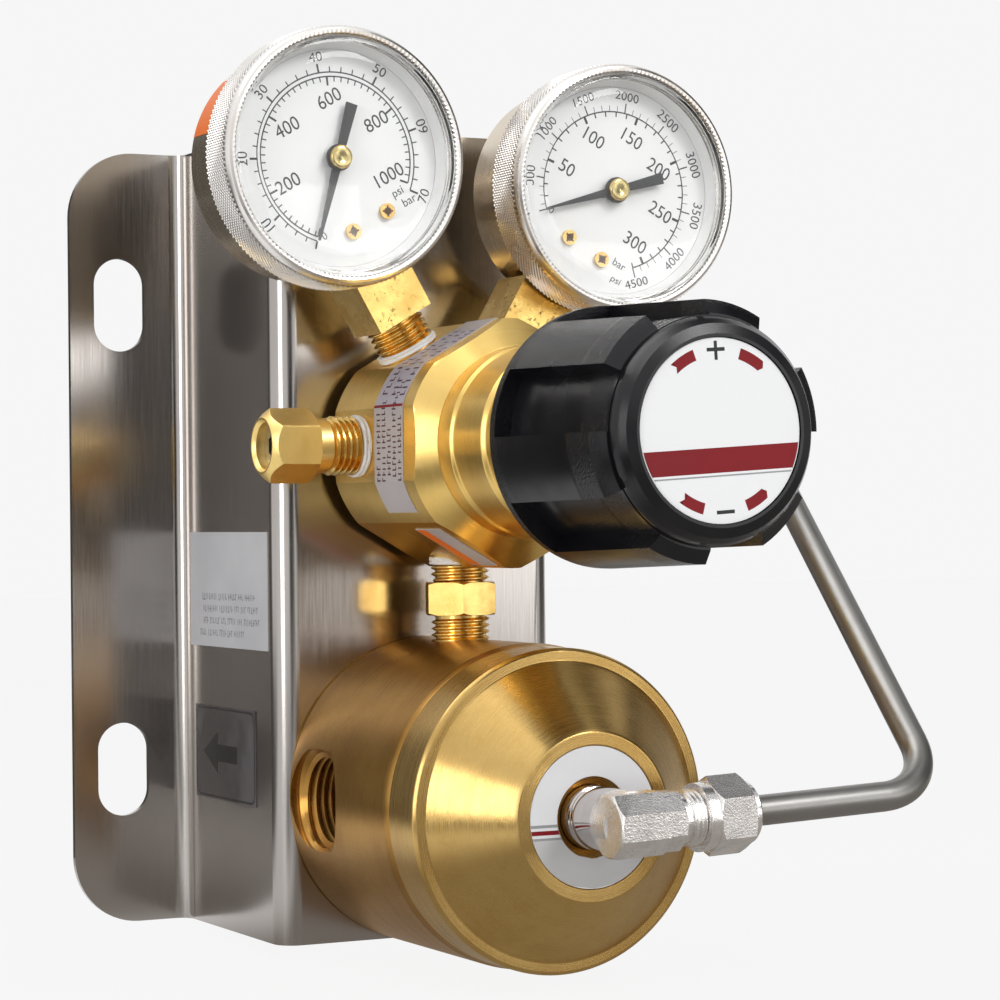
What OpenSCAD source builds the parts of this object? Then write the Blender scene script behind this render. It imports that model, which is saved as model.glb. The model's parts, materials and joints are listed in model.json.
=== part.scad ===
// Dome-loaded pressure regulator on a wall bracket: a large dome regulator below,
// a knob-set pilot regulator above it with two dial gauges and a relief valve,
// and a bent tube that carries the pilot's pressure to the dome.
// Millimetres. Z is up, the object faces -Y, and the wall is the plane Y = 0.
// The origin is the middle of the four wall slots, on the wall.

/* [Bracket] */
// Overall height of the bracket
bracket_h = 184.15; // [150:0.5:220]
// Overall width across both wall flanges
bracket_w = 127; // [105:0.5:150]
// Width of the front plate across its side walls
plate_w = 69.8; // [56:0.1:84]
// Distance from the wall to the front of the plate
bracket_depth = 59.2; // [48:0.1:72]
// Sheet thickness
sheet_t = 1.5; // [1.2:0.1:2.5]
// Outside radius of the four bends
bend_r = 5; // [4:0.1:6]
// Radius of the flange corners
flange_corner_r = 16; // [12:0.5:20]
// Width of each wall slot
slot_w = 12.7; // [9:0.1:14]
// End-to-end length of each wall slot
slot_l = 22.2; // [16:0.1:26]
// Height between the upper and lower slots
slot_pitch_z = 111.1; // [90:0.1:130]
// Width between the left and right slots
slot_pitch_x = 102.4; // [92:0.1:108]

/* [Main regulator] */
// Sideways offset of both regulators from the bracket's middle
reg_x = 2; // [0:0.5:5]
// Gap between the main body and the pilot body
body_gap = 18.8; // [16:0.1:24]
// Radius of the main body
main_r = 35; // [29:0.1:42]
// Length of the main body in front of the plate
main_len = 52.3; // [50:0.1:60]
// Length of the dome cap from its back edge to its hub face
cap_len = 26.2; // [24:0.1:30]
// Radius of the dome cap's hub face
hub_r = 18; // [15.5:0.1:20]
// Wall radius of the inlet and outlet ports
port_r = 10.6; // [9:0.1:11.5]
// Brass between the plate and the inlet and outlet ports
port_back = 3; // [2.4:0.1:5]

/* [Pilot regulator] */
// Height of the pilot regulator's axis
pilot_axis_z = 19.9; // [16:0.1:26]
// Distance from the pilot's axis to its flats
pilot_flat = 24.4; // [23.5:0.1:27]
// How far the pilot body's round corners stand out beyond its flats
pilot_round = 1.3; // [0.8:0.1:2.5]
// Distance of the pilot's ports from the plate
pilot_port_z = 17.4; // [16:0.1:18.5]
// Distance from the plate to the pilot body's front face
pilot_len = 49.2; // [48:0.1:56]
// Radius of the bonnet barrel
bonnet_r = 20.45; // [19.8:0.05:24.6]
// Radius of the pipe threads in the small ports
small_thread_r = 6.6; // [5.6:0.05:6.9]

/* [Knob] */
// Distance from the plate to the back of the knob
knob_back = 85; // [84:0.1:92]
// Length of the knob
knob_len = 45.5; // [42:0.1:52]
// Wall of the knob at the floor of its flutes
knob_wall = 2.8; // [2:0.1:4]
// Height of the knob's lobes above the flutes
lobe_h = 3.6; // [2.5:0.1:5]
// Number of lobes round the knob
lobes = 6; // [4:1:8]
// Angle that each lobe covers
lobe_deg = 29.5; // [24:0.5:36]
// Travel of the spring button over the knob's whole range
button_travel = 7.5; // [5:0.1:9]

/* [Gauges] */
// Distance from the gauge case to the knurled rim of its bezel
bezel_w = 2.9; // [2.5:0.1:4.5]
// Radius of the gauge case
case_r = 25.4; // [24.5:0.1:30.6]
// Lean of each gauge from upright
gauge_lean = 30; // [24:1:36]
// Gap between the pilot body and the outlet gauge's case
outlet_stem = 21.3; // [17:0.1:24]
// Gap between the pilot body and the inlet gauge's case
inlet_stem = 16.5; // [13.6:0.1:24]
// Turn of each gauge on its stem towards the middle
gauge_yaw = 0.5; // [0:0.5:6]

/* [Loading tube] */
// Outside diameter of the tube
tube_d = 6.35; // [5:0.05:7]
// Wall of the tube
tube_wall = 0.89; // [0.6:0.01:1.2]
// Bend radius on the tube's centre line
tube_bend_r = 15; // [12:0.5:18]
// Distance of the elbow's outlet from the plate
elbow_z = 95; // [89:0.1:98]
// Tilt of the elbow above level
elbow_tilt = 2.3; // [0:0.1:8]
// Length of the lower leg from the elbow's axis to the corner
tube_lower = 74.5; // [66:0.1:92]
// Length of the upper leg from the pilot's axis to the corner
tube_upper = 80.2; // [70:0.1:92]

/* [Fits] */
// Clearance of parts that stay put
gap = 0.05; // [0.03:0.01:0.08]
// Clearance of parts that turn or slide
run = 0.06; // [0.03:0.01:0.1]

/* [Hidden] */
// Sub-part to draw

$fn = 64;
// Small overlap that keeps cuts clean
eps = 0.02;

brass = [0.80, 0.62, 0.30];
bright_brass = [0.90, 0.70, 0.30];
steel = [0.70, 0.69, 0.67];
dark_steel = [0.45, 0.45, 0.46];
black = [0.07, 0.07, 0.08];
white = [0.95, 0.95, 0.94];
bronze = [0.52, 0.42, 0.27];
silver = [0.80, 0.79, 0.75];
rubber = [0.15, 0.15, 0.16];

// Directions of the ports, counter-clockwise from the right as seen from the front
right_a = 0;
top_a = 90;
left_a = 180;
bottom_a = 270;

// Root of the pipe threads that show beside the ports
thread_root_r = small_thread_r - 1;

// Main regulator, measured from the plate along its axis
main_axis_z = pilot_axis_z - pilot_flat - body_gap - main_r;
port_z = port_r + port_back;
neck_r = main_r - 4.5;
neck_top = main_len + 7.7;
chamber_r = main_r - 8;
chamber_floor = neck_top - 5.5;
seat_bore_r = 13;
seat_floor = 30;
valve_bore_r = 10;
valve_floor = 8;
valve_stem_r = 3;
main_stroke = 2;
guide_floor = valve_floor - main_stroke - 3;
port_face = main_r - 1.8;
passage_x = chamber_r - 6;
port_inner = passage_x - 5;
diaphragm_t = 0.6;
screw_circle_r = chamber_r - 3;
main_screw_r = 3;
pilot_screw_r = 2.5;
pilot_screw_x = 11;
hub_top = main_len + cap_len;
cap_r = main_r - 0.5;
cap_rim_z = main_len + 11.35;
cap_inner_floor = neck_top + 0.7;
hub_recess_r = hub_r - 3.1;
dome_port_r = small_thread_r + gap;
dome_recess_r = 8.4;
elbow_thread_low = hub_top - 8;
elbow_neck_low = hub_top + 3;

// Pilot regulator, measured from the plate along its axis
pilot_boss_r = 16;
pilot_boss_h = 4;
pilot_r = pilot_flat + pilot_round;
pilot_apex = pilot_flat / cos(30) - 1;
pilot_cone_z = pilot_len - 5.6;
pilot_cone_r = bonnet_r + 0.35;
pilot_port_inner = 14.6;
pilot_shelf_r = bonnet_r - 1.65;
pilot_chamber_r = pilot_shelf_r - 1.8;
pilot_chamber_floor = 34;
pilot_shelf = 36.6;
pilot_diaphragm_t = 0.35;
pilot_seat_r = 8;
pilot_seat_floor = 22;
pilot_valve_r = 6;
pilot_valve_floor = 8;
pilot_guide_r = 2;
pilot_stroke = 0.8;
pilot_guide_floor = pilot_valve_floor - pilot_stroke - 2.7;
clamp_z = pilot_shelf + pilot_diaphragm_t + 2 * gap;
bonnet_bore_r = bonnet_r - 4.95;
bonnet_end = knob_back + 7;
bonnet_ceiling = knob_back + 2.05;
bonnet_boss_r = 9;
bonnet_boss_end = knob_back + 13;
key_w = 3.2;
key_r = bonnet_bore_r + 1.1;
plate_top = clamp_z + 3.5;
spring_wire = 2.6;
spring_r = bonnet_bore_r - 3.8;
button_low = bonnet_ceiling - 17;
button_top = button_low + 8;
screw_r = 4;
shaft_r = 5;
collar_r = 8;
screw_low = button_low - button_travel - 4.5;

// Knob, measured from the plate along the same axis
knob_end = knob_back + knob_len;
knob_skirt_r = bonnet_r - 0.05;
knob_hub_r = 9;
knob_hub_z = bonnet_boss_end + 1;
knob_floor = knob_end - 11.5;
knob_pocket_z = knob_end - 9.5;
knob_recess_z = knob_end - 0.8;
flute_r = knob_skirt_r + knob_wall;
knob_r = flute_r + lobe_h;
ring_r = flute_r - 1;
knob_recess_r = ring_r - 4.2;
drive_flat = 8;

// Compression fittings, measured from the shoulder of the fitting
hex_af = 14.3;
comp_thread_r = tube_d / 2 + 2.325;
comp_thread_l = 8.5;
comp_nut_lo = 3;
comp_collar_hi = 5.5;
comp_ring_lo = 13.7;
comp_nut_hi = 15.7;
tube_r = tube_d / 2;
bend_thin = 0.02;
elbow_arm = 11.3;
elbow_af = 12.8;
elbow_arm_af = 12;
elbow_end = -6.1;
elbow_step = 5.6;
elbow_arm_end = 9.5;
connector_hex_lo = pilot_flat + 2.6;
connector_hex_hi = connector_hex_lo + 8;

// Hex nipple, measured up from the main regulator's axis
nipple_low = main_r - 11.5;
nipple_hex_h = 7.4;
nipple_high = pilot_axis_z - main_axis_z - pilot_port_inner - 0.6;
nipple_hex_lo = main_r + (body_gap - nipple_hex_h) / 2 - 0.4;
nipple_turn = 38.5;
nipple_af = 15;

// Relief valve, measured out from the pilot's axis
relief_in = pilot_port_inner + 0.9;
relief_hex_lo = pilot_flat + 12.1;
relief_hex_hi = relief_hex_lo + 11.4;
relief_neck_r = small_thread_r - 0.55;
relief_neck_l = 3.3;
relief_face_r = 6.1;
relief_bore_r = 5;
relief_spring_bore_r = 4.4;
relief_seat = relief_hex_lo - 8;
relief_stroke = 1.5;
relief_adjuster_in = relief_hex_hi - 7;
relief_adjuster_out = relief_hex_hi - 2.8;

// Gauges, measured in each gauge's own frame: y away from the stem, z to the front
case_back = -8.2;
case_wall = 0.8;
case_front = 13;
dial_r = case_r - 1.3;
dial_z = 12.4;
dial_t = 0.6;
bezel_back = 8.2;
bezel_front = 20.1;
bezel_r = case_r + bezel_w;
lip_r = case_r + 0.3;
window_r = case_r + 1.7;
window_z = 17;
socket_half = 7;
socket_top = -case_r - 0.5;
socket_low = -case_r - 13.5;
thread_in = pilot_flat - pilot_port_inner - 0.6;
block_top = 11.5 - case_r;
screw_x = 4.7;
screw_y = block_top - 1.5;
bourdon_r = case_r - 7.5;
bourdon_w = 1.6;
bourdon_z = -4;
bourdon_a = 286;
bourdon_span = 243;
pointer_tip = dial_r - 5.5;
pointer_tail = 12.2;
zero_a = 225;

// Bracket profile helpers
half_w = bracket_w / 2;
half_p = plate_w / 2;
inner_bend = bend_r - sheet_t;

// Frames

module on_main() {
    translate([reg_x, -bracket_depth, main_axis_z])
    rotate([90, 0, 0])
    children();
}

module on_pilot() {
    translate([reg_x, -bracket_depth, pilot_axis_z])
    rotate([90, 0, 0])
    children();
}

// Local z runs outwards along direction a, from the axis at height z
module radial(a, z) {
    rotate([0, 0, a])
    translate([0, 0, z])
    rotate([0, 90, 0])
    children();
}

// Gauge frame: side is 1 for the left gauge and -1 for the right one
module on_gauge(side, stem) {
    on_pilot()
    rotate([0, 0, side * gauge_lean])
    translate([0, pilot_flat + stem + case_r, pilot_port_z])
    rotate([0, side * gauge_yaw, 0])
    children();
}

// Shared shapes

module disc(r, z0, z1) {
    translate([0, 0, z0])
    cylinder(r = r, h = z1 - z0);
}

module ring(ro, ri, z0, z1) {
    difference() {
        disc(ro, z0, z1);
        disc(ri, z0 - 1, z1 + 1);
    }
}

module cone(r0, r1, z0, z1) {
    translate([0, 0, z0])
    cylinder(r1 = r0, r2 = r1, h = z1 - z0);
}

// Bar with flat sides and both ends chamfered; af is its size across the flats
module flat_bar(sides, af, z0, z1, turn) {
    ac = af / cos(180 / sides) / 2;
    intersection() {
        translate([0, 0, z0])
        rotate([0, 0, turn])
        cylinder(r = ac, h = z1 - z0, $fn = sides);
        rotate_extrude()
        polygon([
            [0, z0], [ac - 0.9, z0], [ac + 0.1, z0 + 0.58],
            [ac + 0.1, z1 - 0.58], [ac - 0.9, z1], [0, z1]
        ]);
    }
}

module hex_bar(af, z0, z1, turn = 30) {
    flat_bar(6, af, z0, z1, turn);
}

// Coil spring: mean radius, wire radius, both ends and the number of turns
module coil(r, w, z0, z1, turns) {
    sides = 8;
    steps = 16 * turns;
    rise = (z1 - z0 - 2 * w) / steps;
    points = [
        for (i = [0 : steps])
        for (j = [0 : sides - 1])
        let (a = 360 * turns * i / steps, b = 360 * j / sides, q = r + w * cos(b))
        [q * cos(a), q * sin(a), z0 + w + rise * i + w * sin(b)]
    ];
    walls = [
        for (i = [0 : steps - 1])
        for (j = [0 : sides - 1])
        let (k = (j + 1) % sides)
        [i * sides + j, (i + 1) * sides + j, (i + 1) * sides + k, i * sides + k]
    ];
    start = [for (j = [0 : sides - 1]) j];
    finish = [for (j = [sides - 1 : -1 : 0]) steps * sides + j];
    polyhedron(points = points, faces = concat([start], walls, [finish]));
}

// Directions and bends for the tube

function unit(v) = v / norm(v);

function turn_angle(d1, d2) = acos(d1 * d2);

function inward(d1, d2) = unit(d2 - (d2 * d1) * d1);

// Angles that turn the axes onto directions x, y and z
function euler(x, y, z) = [atan2(y[2], z[2]), asin(-x[2]), atan2(x[1], x[0])];

// The straight legs reach a little way into the bends, whose wall is drawn thinner
module straight(p, q, into_p, into_q) {
    d = q - p;
    translate(p)
    rotate([0, acos(d[2] / norm(d)), atan2(d[1], d[0])])
    ring(tube_r, tube_r - tube_wall, -into_p, norm(d) + into_q);
}

module bend(corner, d1, d2) {
    t = tube_bend_r * tan(turn_angle(d1, d2) / 2);
    n = inward(d1, d2);
    centre = corner - d1 * t + n * tube_bend_r;
    translate(centre)
    rotate(euler(-n, d1, cross(-n, d1)))
    rotate_extrude(angle = turn_angle(d1, d2))
    translate([tube_bend_r, 0])
    difference() {
        circle(r = tube_r - bend_thin);
        circle(r = tube_r - tube_wall + bend_thin);
    }
}

// Bracket

module arc_strip(cx, cy, sx, sy) {
    translate([cx, cy])
    intersection() {
        difference() {
            circle(r = bend_r);
            circle(r = inner_bend);
        }
        translate([sx > 0 ? 0 : -bend_r, sy > 0 ? 0 : -bend_r])
        square(bend_r);
    }
}

module bracket_half() {
    translate([-eps, -bracket_depth])
    square([half_p - bend_r + eps, sheet_t]);
    arc_strip(half_p - bend_r, bend_r - bracket_depth, 1, -1);
    translate([half_p - sheet_t, bend_r - bracket_depth])
    square([sheet_t, bracket_depth - 2 * bend_r]);
    arc_strip(half_p + inner_bend, -bend_r, -1, 1);
    translate([half_p + inner_bend, -sheet_t])
    square([half_w - half_p - inner_bend, sheet_t]);
}

module flange_corner(sx, sz) {
    r = flange_corner_r;
    translate([sx * half_w, 0, sz * bracket_h / 2])
    rotate([90, 0, 0])
    difference() {
        translate([sx > 0 ? -r : -1, sz > 0 ? -r : -1, -1])
        cube([r + 1, r + 1, sheet_t + 2]);
        translate([-sx * r, -sz * r, -2])
        cylinder(r = r, h = sheet_t + 4);
    }
}

module wall_slot(sx, sz) {
    reach = (slot_l - slot_w) / 2;
    translate([sx * slot_pitch_x / 2, 1, sz * slot_pitch_z / 2])
    rotate([90, 0, 0]) {
        translate([0, reach, 0])
        cylinder(r = slot_w / 2, h = sheet_t + 2);
        translate([0, -reach, 0])
        cylinder(r = slot_w / 2, h = sheet_t + 2);
        translate([-slot_w / 2, -reach, 0])
        cube([slot_w, 2 * reach, sheet_t + 2]);
    }
}

module main_screw_places() {
    for (a = [45 : 90 : 315])
    rotate([0, 0, a])
    translate([screw_circle_r, 0, 0])
    children();
}

module pilot_screw_places() {
    for (s = [-1, 1])
    translate([s * pilot_screw_x, 0, 0])
    children();
}

module bracket() {
    color(steel)
    difference() {
        translate([0, 0, -bracket_h / 2])
        linear_extrude(height = bracket_h) {
            bracket_half();
            mirror([1, 0])
            bracket_half();
        }
        for (sx = [-1, 1])
        for (sz = [-1, 1]) {
            flange_corner(sx, sz);
            wall_slot(sx, sz);
        }
        on_main()
        main_screw_places()
        disc(main_screw_r + 0.3, -sheet_t - 1, 1);
        on_pilot()
        pilot_screw_places()
        disc(pilot_screw_r + 0.3, -sheet_t - 1, 1);
    }
}

module bracket_labels() {
    label_t = 0.2;
    color(white)
    translate([-half_p - label_t - 0.02, 0, 0]) {
        translate([0, bend_r + 1 - bracket_depth, -26])
        cube([label_t, bracket_depth - 2 * bend_r - 1.2, 27]);
        translate([0, bend_r + 9 - bracket_depth, -62])
        cube([label_t, bracket_depth - 2 * bend_r - 12, 22]);
    }
}

module mount_screw(r, depth) {
    disc(r - gap, -sheet_t - gap, depth);
    difference() {
        disc(r * 1.65, -sheet_t - gap - 2 * r, -sheet_t - gap);
        translate([0, 0, -sheet_t - gap - 2 * r - 1])
        rotate([0, 0, 30])
        cylinder(r = r, h = r + 1, $fn = 6);
    }
}

module main_mount_screws() {
    color(dark_steel)
    on_main()
    main_screw_places()
    mount_screw(main_screw_r, 8);
}

module pilot_mount_screws() {
    color(dark_steel)
    on_pilot()
    pilot_screw_places()
    mount_screw(pilot_screw_r, 7);
}

// Main regulator

module main_port(a) {
    radial(a, port_z) {
        disc(port_r, port_inner, main_r + 5);
        disc(port_r + 1.9, port_face, main_r + 5);
        cone(port_r, port_r + 0.9, port_face - 0.9, port_face);
    }
}

module main_body() {
    color(brass)
    on_main()
    difference() {
        rotate_extrude()
        polygon([
            [0, gap], [main_r - 0.8, gap], [main_r, 0.8], [main_r, main_len - 2],
            [main_r - 0.7, main_len], [neck_r, main_len], [neck_r, neck_top], [0, neck_top]
        ]);
        disc(chamber_r, chamber_floor, neck_top + 1);
        disc(seat_bore_r, seat_floor, chamber_floor + 1);
        disc(valve_bore_r, valve_floor, seat_floor + 1);
        disc(valve_stem_r, guide_floor, valve_floor + 1);
        main_port(left_a);
        main_port(right_a);
        radial(right_a, port_z)
        disc(5, valve_bore_r - 2, port_inner + 1);
        translate([-passage_x, 0, 0])
        disc(4, port_z, chamber_floor + 1);
        radial(top_a, pilot_port_z) {
            disc(small_thread_r + gap, nipple_low - 1.5, main_r + 5);
            disc(2, valve_bore_r - 2, nipple_low);
        }
        main_screw_places()
        disc(main_screw_r, -1, 9);
    }
}

module dome_cap() {
    color(brass)
    on_main()
    difference() {
        rotate_extrude()
        polygon([
            [0, main_len + gap], [cap_r, main_len + gap], [cap_r, cap_rim_z],
            [cap_r - 0.7, cap_rim_z + 0.7], [cap_r - 2.7, cap_rim_z + 0.7],
            [hub_r + 0.3, hub_top - 0.6], [hub_r - 0.4, hub_top],
            [0, hub_top]
        ]);
        disc(neck_r + gap, main_len - 1, cap_inner_floor);
        disc(chamber_r, cap_inner_floor - eps, cap_inner_floor + 1.3);
        cone(chamber_r - 1, 13, cap_inner_floor + 1.3 - eps, hub_top - 8.5);
        disc(dome_port_r, hub_top - 9, hub_top + 1);
        cone(dome_port_r, dome_recess_r, hub_top - 2.4, hub_top - 0.6 + eps);
        disc(hub_recess_r, hub_top - 0.6, hub_top + 1);
    }
}

module main_diaphragm() {
    color(rubber)
    on_main()
    disc(neck_r - 0.2, neck_top + gap, neck_top + gap + diaphragm_t);
}

module main_diaphragm_plate() {
    color(silver)
    on_main()
    union() {
        disc(chamber_r - 7, neck_top - 3, neck_top);
        disc(6, neck_top - 10, neck_top - 3 + eps);
    }
}

module main_seat() {
    color(bright_brass)
    on_main()
    difference() {
        disc(seat_bore_r - gap, seat_floor + gap, seat_floor + 8);
        disc(6, seat_floor - 1, seat_floor + 9);
        for (a = [0 : 90 : 270])
        rotate([0, 0, a])
        translate([9.5, 0, seat_floor + 5])
        cylinder(r = 1.2, h = 4);
    }
}

module main_poppet() {
    low = guide_floor + main_stroke + 0.5;
    color(bright_brass)
    on_main()
    rotate_extrude()
    polygon([
        [0, low], [valve_stem_r - run, low],
        [valve_stem_r - run, 24], [8, 24], [8, 28.6], [7.2, seat_floor],
        [valve_stem_r, seat_floor], [valve_stem_r, neck_top - 10 - gap],
        [0, neck_top - 10 - gap]
    ]);
}

module main_poppet_spring() {
    color(silver)
    on_main()
    coil(5.4, 0.7, valve_floor + gap, 24 - gap, 5);
}

module dome_label() {
    color(white)
    on_main()
    ring(hub_recess_r - 0.15, dome_recess_r + 0.1, hub_top - 0.6 + 0.02, hub_top - 0.2);
}

// Fittings

module comp_end() {
    disc(comp_thread_r, 0, comp_thread_l);
}

module comp_bore() {
    disc(tube_r + gap, 1, comp_thread_l + 1);
    cone(tube_r + gap, tube_r + 1, comp_thread_l - 1, comp_thread_l + eps);
}

module comp_nut() {
    difference() {
        union() {
            disc(hex_af / 2 - 0.1, comp_nut_lo, comp_collar_hi + 1);
            hex_bar(hex_af, comp_collar_hi, comp_ring_lo);
            disc(6.4, comp_ring_lo - eps, comp_nut_hi - 0.5);
            cone(6.4, 5.9, comp_nut_hi - 0.5 - eps, comp_nut_hi);
        }
        disc(comp_thread_r + gap, comp_nut_lo - 1, comp_thread_l + 1.5);
        disc(comp_thread_r - 0.2, comp_thread_l, comp_thread_l + 4);
        disc(tube_r + gap, comp_thread_l, comp_nut_hi + 1);
    }
}

module ferrules() {
    difference() {
        union() {
            cone(tube_r + 0.7, comp_thread_r - 0.5, comp_thread_l + 0.1, comp_thread_l + 2);
            disc(comp_thread_r - 0.5, comp_thread_l + 2 - eps, comp_thread_l + 3.8);
        }
        disc(tube_r + gap / 2, comp_thread_l - 1, comp_thread_l + 5);
    }
}

// Outlet of the elbow, local z along the tube
module on_elbow() {
    on_main()
    translate([0, 0, elbow_z])
    rotate([0, 0, elbow_tilt])
    rotate([0, 90, 0])
    translate([0, 0, elbow_arm])
    children();
}

module on_connector() {
    on_pilot()
    radial(right_a, pilot_port_z)
    translate([0, 0, connector_hex_hi])
    children();
}

// Octagonal bar along the elbow's outlet, from its corner
module elbow_bar(af, x0, x1) {
    rotate([0, 90, 0])
    flat_bar(8, af, x0, x1, 22.5);
}

module dome_elbow() {
    color(silver)
    union() {
        on_main()
        difference() {
            union() {
                disc(small_thread_r, elbow_thread_low, hub_top);
                disc(thread_root_r, hub_top - eps, elbow_neck_low + eps);
                disc(small_thread_r, elbow_neck_low, elbow_z - 0.5);
                rotate([0, 0, elbow_tilt])
                translate([0, 0, elbow_z]) {
                    elbow_bar(elbow_af, elbow_end, elbow_step);
                    elbow_bar(elbow_arm_af, elbow_step - 3, elbow_arm_end);
                    rotate([0, 90, 0])
                    disc(comp_thread_r - 0.5, elbow_arm_end - 1, elbow_arm + eps);
                }
            }
            disc(2.4, elbow_thread_low - 1, elbow_z + 2);
            rotate([0, 0, elbow_tilt])
            translate([0, 0, elbow_z])
            rotate([0, 90, 0])
            disc(2.3, 0, elbow_arm + 2);
        }
        on_elbow()
        difference() {
            comp_end();
            comp_bore();
            disc(2.3, -1, 2);
        }
    }
}

module dome_tube_nut() {
    color(silver)
    on_elbow()
    comp_nut();
}

module dome_ferrules() {
    color(steel)
    on_elbow()
    ferrules();
}

module pilot_connector() {
    color(silver)
    on_pilot()
    radial(right_a, pilot_port_z)
    difference() {
        union() {
            disc(small_thread_r, pilot_port_inner + 1, pilot_flat + 0.5);
            disc(thread_root_r, pilot_flat + 0.5 - eps, connector_hex_lo);
            hex_bar(hex_af, connector_hex_lo - eps, connector_hex_hi);
            translate([0, 0, connector_hex_hi - eps])
            comp_end();
        }
        disc(2.3, pilot_port_inner, connector_hex_hi + 3);
        translate([0, 0, connector_hex_hi])
        comp_bore();
    }
}

module pilot_tube_nut() {
    color(silver)
    on_connector()
    comp_nut();
}

module pilot_ferrules() {
    color(steel)
    on_connector()
    ferrules();
}

module loading_tube() {
    seat = 1.4;
    lap = 0.1;
    d1 = [cos(elbow_tilt), 0, sin(elbow_tilt)];
    d3 = [-1, 0, 0];
    elbow_y = -bracket_depth - elbow_z;
    port_y = -bracket_depth - pilot_port_z;
    start = [reg_x, elbow_y, main_axis_z] + d1 * (elbow_arm + seat);
    low = [reg_x, elbow_y, main_axis_z] + d1 * tube_lower;
    high = [reg_x + tube_upper, port_y, pilot_axis_z];
    finish = [reg_x + connector_hex_hi + seat, port_y, pilot_axis_z];
    d2 = unit(high - low);
    t_low = tube_bend_r * tan(turn_angle(d1, d2) / 2);
    t_high = tube_bend_r * tan(turn_angle(d2, d3) / 2);
    color(steel)
    union() {
        straight(start, low - d1 * t_low, 0, lap);
        bend(low, d1, d2);
        straight(low + d2 * t_low, high - d2 * t_high, lap, lap);
        bend(high, d2, d3);
        straight(high + d3 * t_high, finish, lap, 0);
    }
}

module hex_nipple() {
    hex_hi = nipple_hex_lo + nipple_hex_h;
    main_rim = main_r - 1;
    pilot_rim = main_r + body_gap - 0.5;
    color(bright_brass)
    on_main()
    radial(top_a, pilot_port_z)
    difference() {
        union() {
            disc(small_thread_r, nipple_low, main_rim);
            disc(thread_root_r, main_rim - eps, nipple_hex_lo + eps);
            hex_bar(nipple_af, nipple_hex_lo, hex_hi, nipple_turn);
            disc(thread_root_r, hex_hi - eps, pilot_rim);
            disc(small_thread_r, pilot_rim - eps, nipple_high);
        }
        disc(2.5, nipple_low - 1, nipple_high + 1);
    }
}

// Pilot regulator

module pilot_outline(grow) {
    intersection() {
        rotate(30)
        circle(r = (pilot_flat + grow) / cos(30), $fn = 6);
        union() {
            circle(r = pilot_r + grow);
            square([24, 2 * (pilot_apex + grow)], center = true);
        }
    }
}

module small_port(a) {
    radial(a, pilot_port_z)
    disc(small_thread_r + gap, pilot_port_inner, pilot_flat + 10);
}

module pilot_body() {
    color(bright_brass)
    on_pilot()
    difference() {
        union() {
            intersection() {
                translate([0, 0, pilot_boss_h])
                linear_extrude(height = pilot_len - pilot_boss_h)
                pilot_outline(0);
                rotate_extrude()
                polygon([
                    [0, pilot_boss_h], [pilot_apex - 2, pilot_boss_h],
                    [pilot_apex, pilot_boss_h + 1.5], [pilot_apex, pilot_cone_z],
                    [pilot_cone_r, pilot_len], [0, pilot_len]
                ]);
            }
            disc(pilot_boss_r, gap, pilot_boss_h + eps);
        }
        disc(pilot_shelf_r, pilot_shelf, pilot_len + 1);
        disc(pilot_chamber_r, pilot_chamber_floor, pilot_shelf + 1);
        disc(pilot_seat_r, pilot_seat_floor, pilot_chamber_floor + 1);
        disc(pilot_valve_r, pilot_valve_floor, pilot_seat_floor + 1);
        disc(pilot_guide_r, pilot_guide_floor, pilot_valve_floor + 1);
        small_port(right_a);
        small_port(90 - gauge_lean);
        small_port(90 + gauge_lean);
        small_port(left_a);
        small_port(bottom_a);
        for (a = [bottom_a, 90 - gauge_lean])
        radial(a, pilot_port_z)
        disc(1.6, pilot_valve_r - 1, pilot_port_inner + 1);
        for (a = [right_a, 90 + gauge_lean, left_a])
        rotate([0, 0, a])
        translate([pilot_port_inner + 1.2, 0, 0])
        disc(1.1, pilot_port_z, pilot_chamber_floor + 1);
        pilot_screw_places()
        disc(pilot_screw_r, -1, pilot_valve_floor);
    }
}

module pilot_bonnet() {
    color(bright_brass)
    on_pilot()
    difference() {
        rotate_extrude()
        polygon([
            [bonnet_bore_r, clamp_z], [pilot_shelf_r - gap, clamp_z],
            [pilot_shelf_r - gap, pilot_len + gap], [pilot_cone_r, pilot_len + gap],
            [pilot_cone_r, pilot_len + 5.7], [pilot_cone_r - 0.7, pilot_len + 6.3],
            [pilot_cone_r - 0.7, pilot_len + 7.1], [bonnet_r, pilot_len + 7.4],
            [bonnet_r, knob_back - 16.3], [bonnet_r - 0.85, knob_back - 15.4],
            [bonnet_r - 0.85, bonnet_end], [bonnet_boss_r, bonnet_end + 1],
            [bonnet_boss_r, bonnet_boss_end], [shaft_r + run, bonnet_boss_end],
            [shaft_r + run, bonnet_ceiling], [bonnet_bore_r, bonnet_ceiling]
        ]);
        for (s = [0, 180])
        rotate([0, 0, s])
        translate([bonnet_bore_r - 2, -key_w / 2, clamp_z - 1])
        cube([key_r + run - bonnet_bore_r + 2, key_w, bonnet_ceiling - clamp_z + 1]);
    }
}

module pilot_diaphragm() {
    color(silver)
    on_pilot()
    disc(pilot_shelf_r - 0.1, pilot_shelf + gap, pilot_shelf + gap + pilot_diaphragm_t);
}

module pilot_diaphragm_plate() {
    color(silver)
    on_pilot()
    union() {
        disc(bonnet_bore_r - 2, clamp_z, plate_top);
        disc(spring_r - spring_wire / 2 - 0.5, plate_top - eps, plate_top + 2.5);
    }
}

module pilot_seat() {
    color(bright_brass)
    on_pilot()
    difference() {
        disc(pilot_seat_r - gap, pilot_seat_floor + gap, pilot_seat_floor + 8);
        disc(2, pilot_seat_floor - 1, pilot_seat_floor + 9);
        translate([0, 0, pilot_seat_floor + 5])
        cylinder(r = 4, h = 4, $fn = 6);
    }
}

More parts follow.
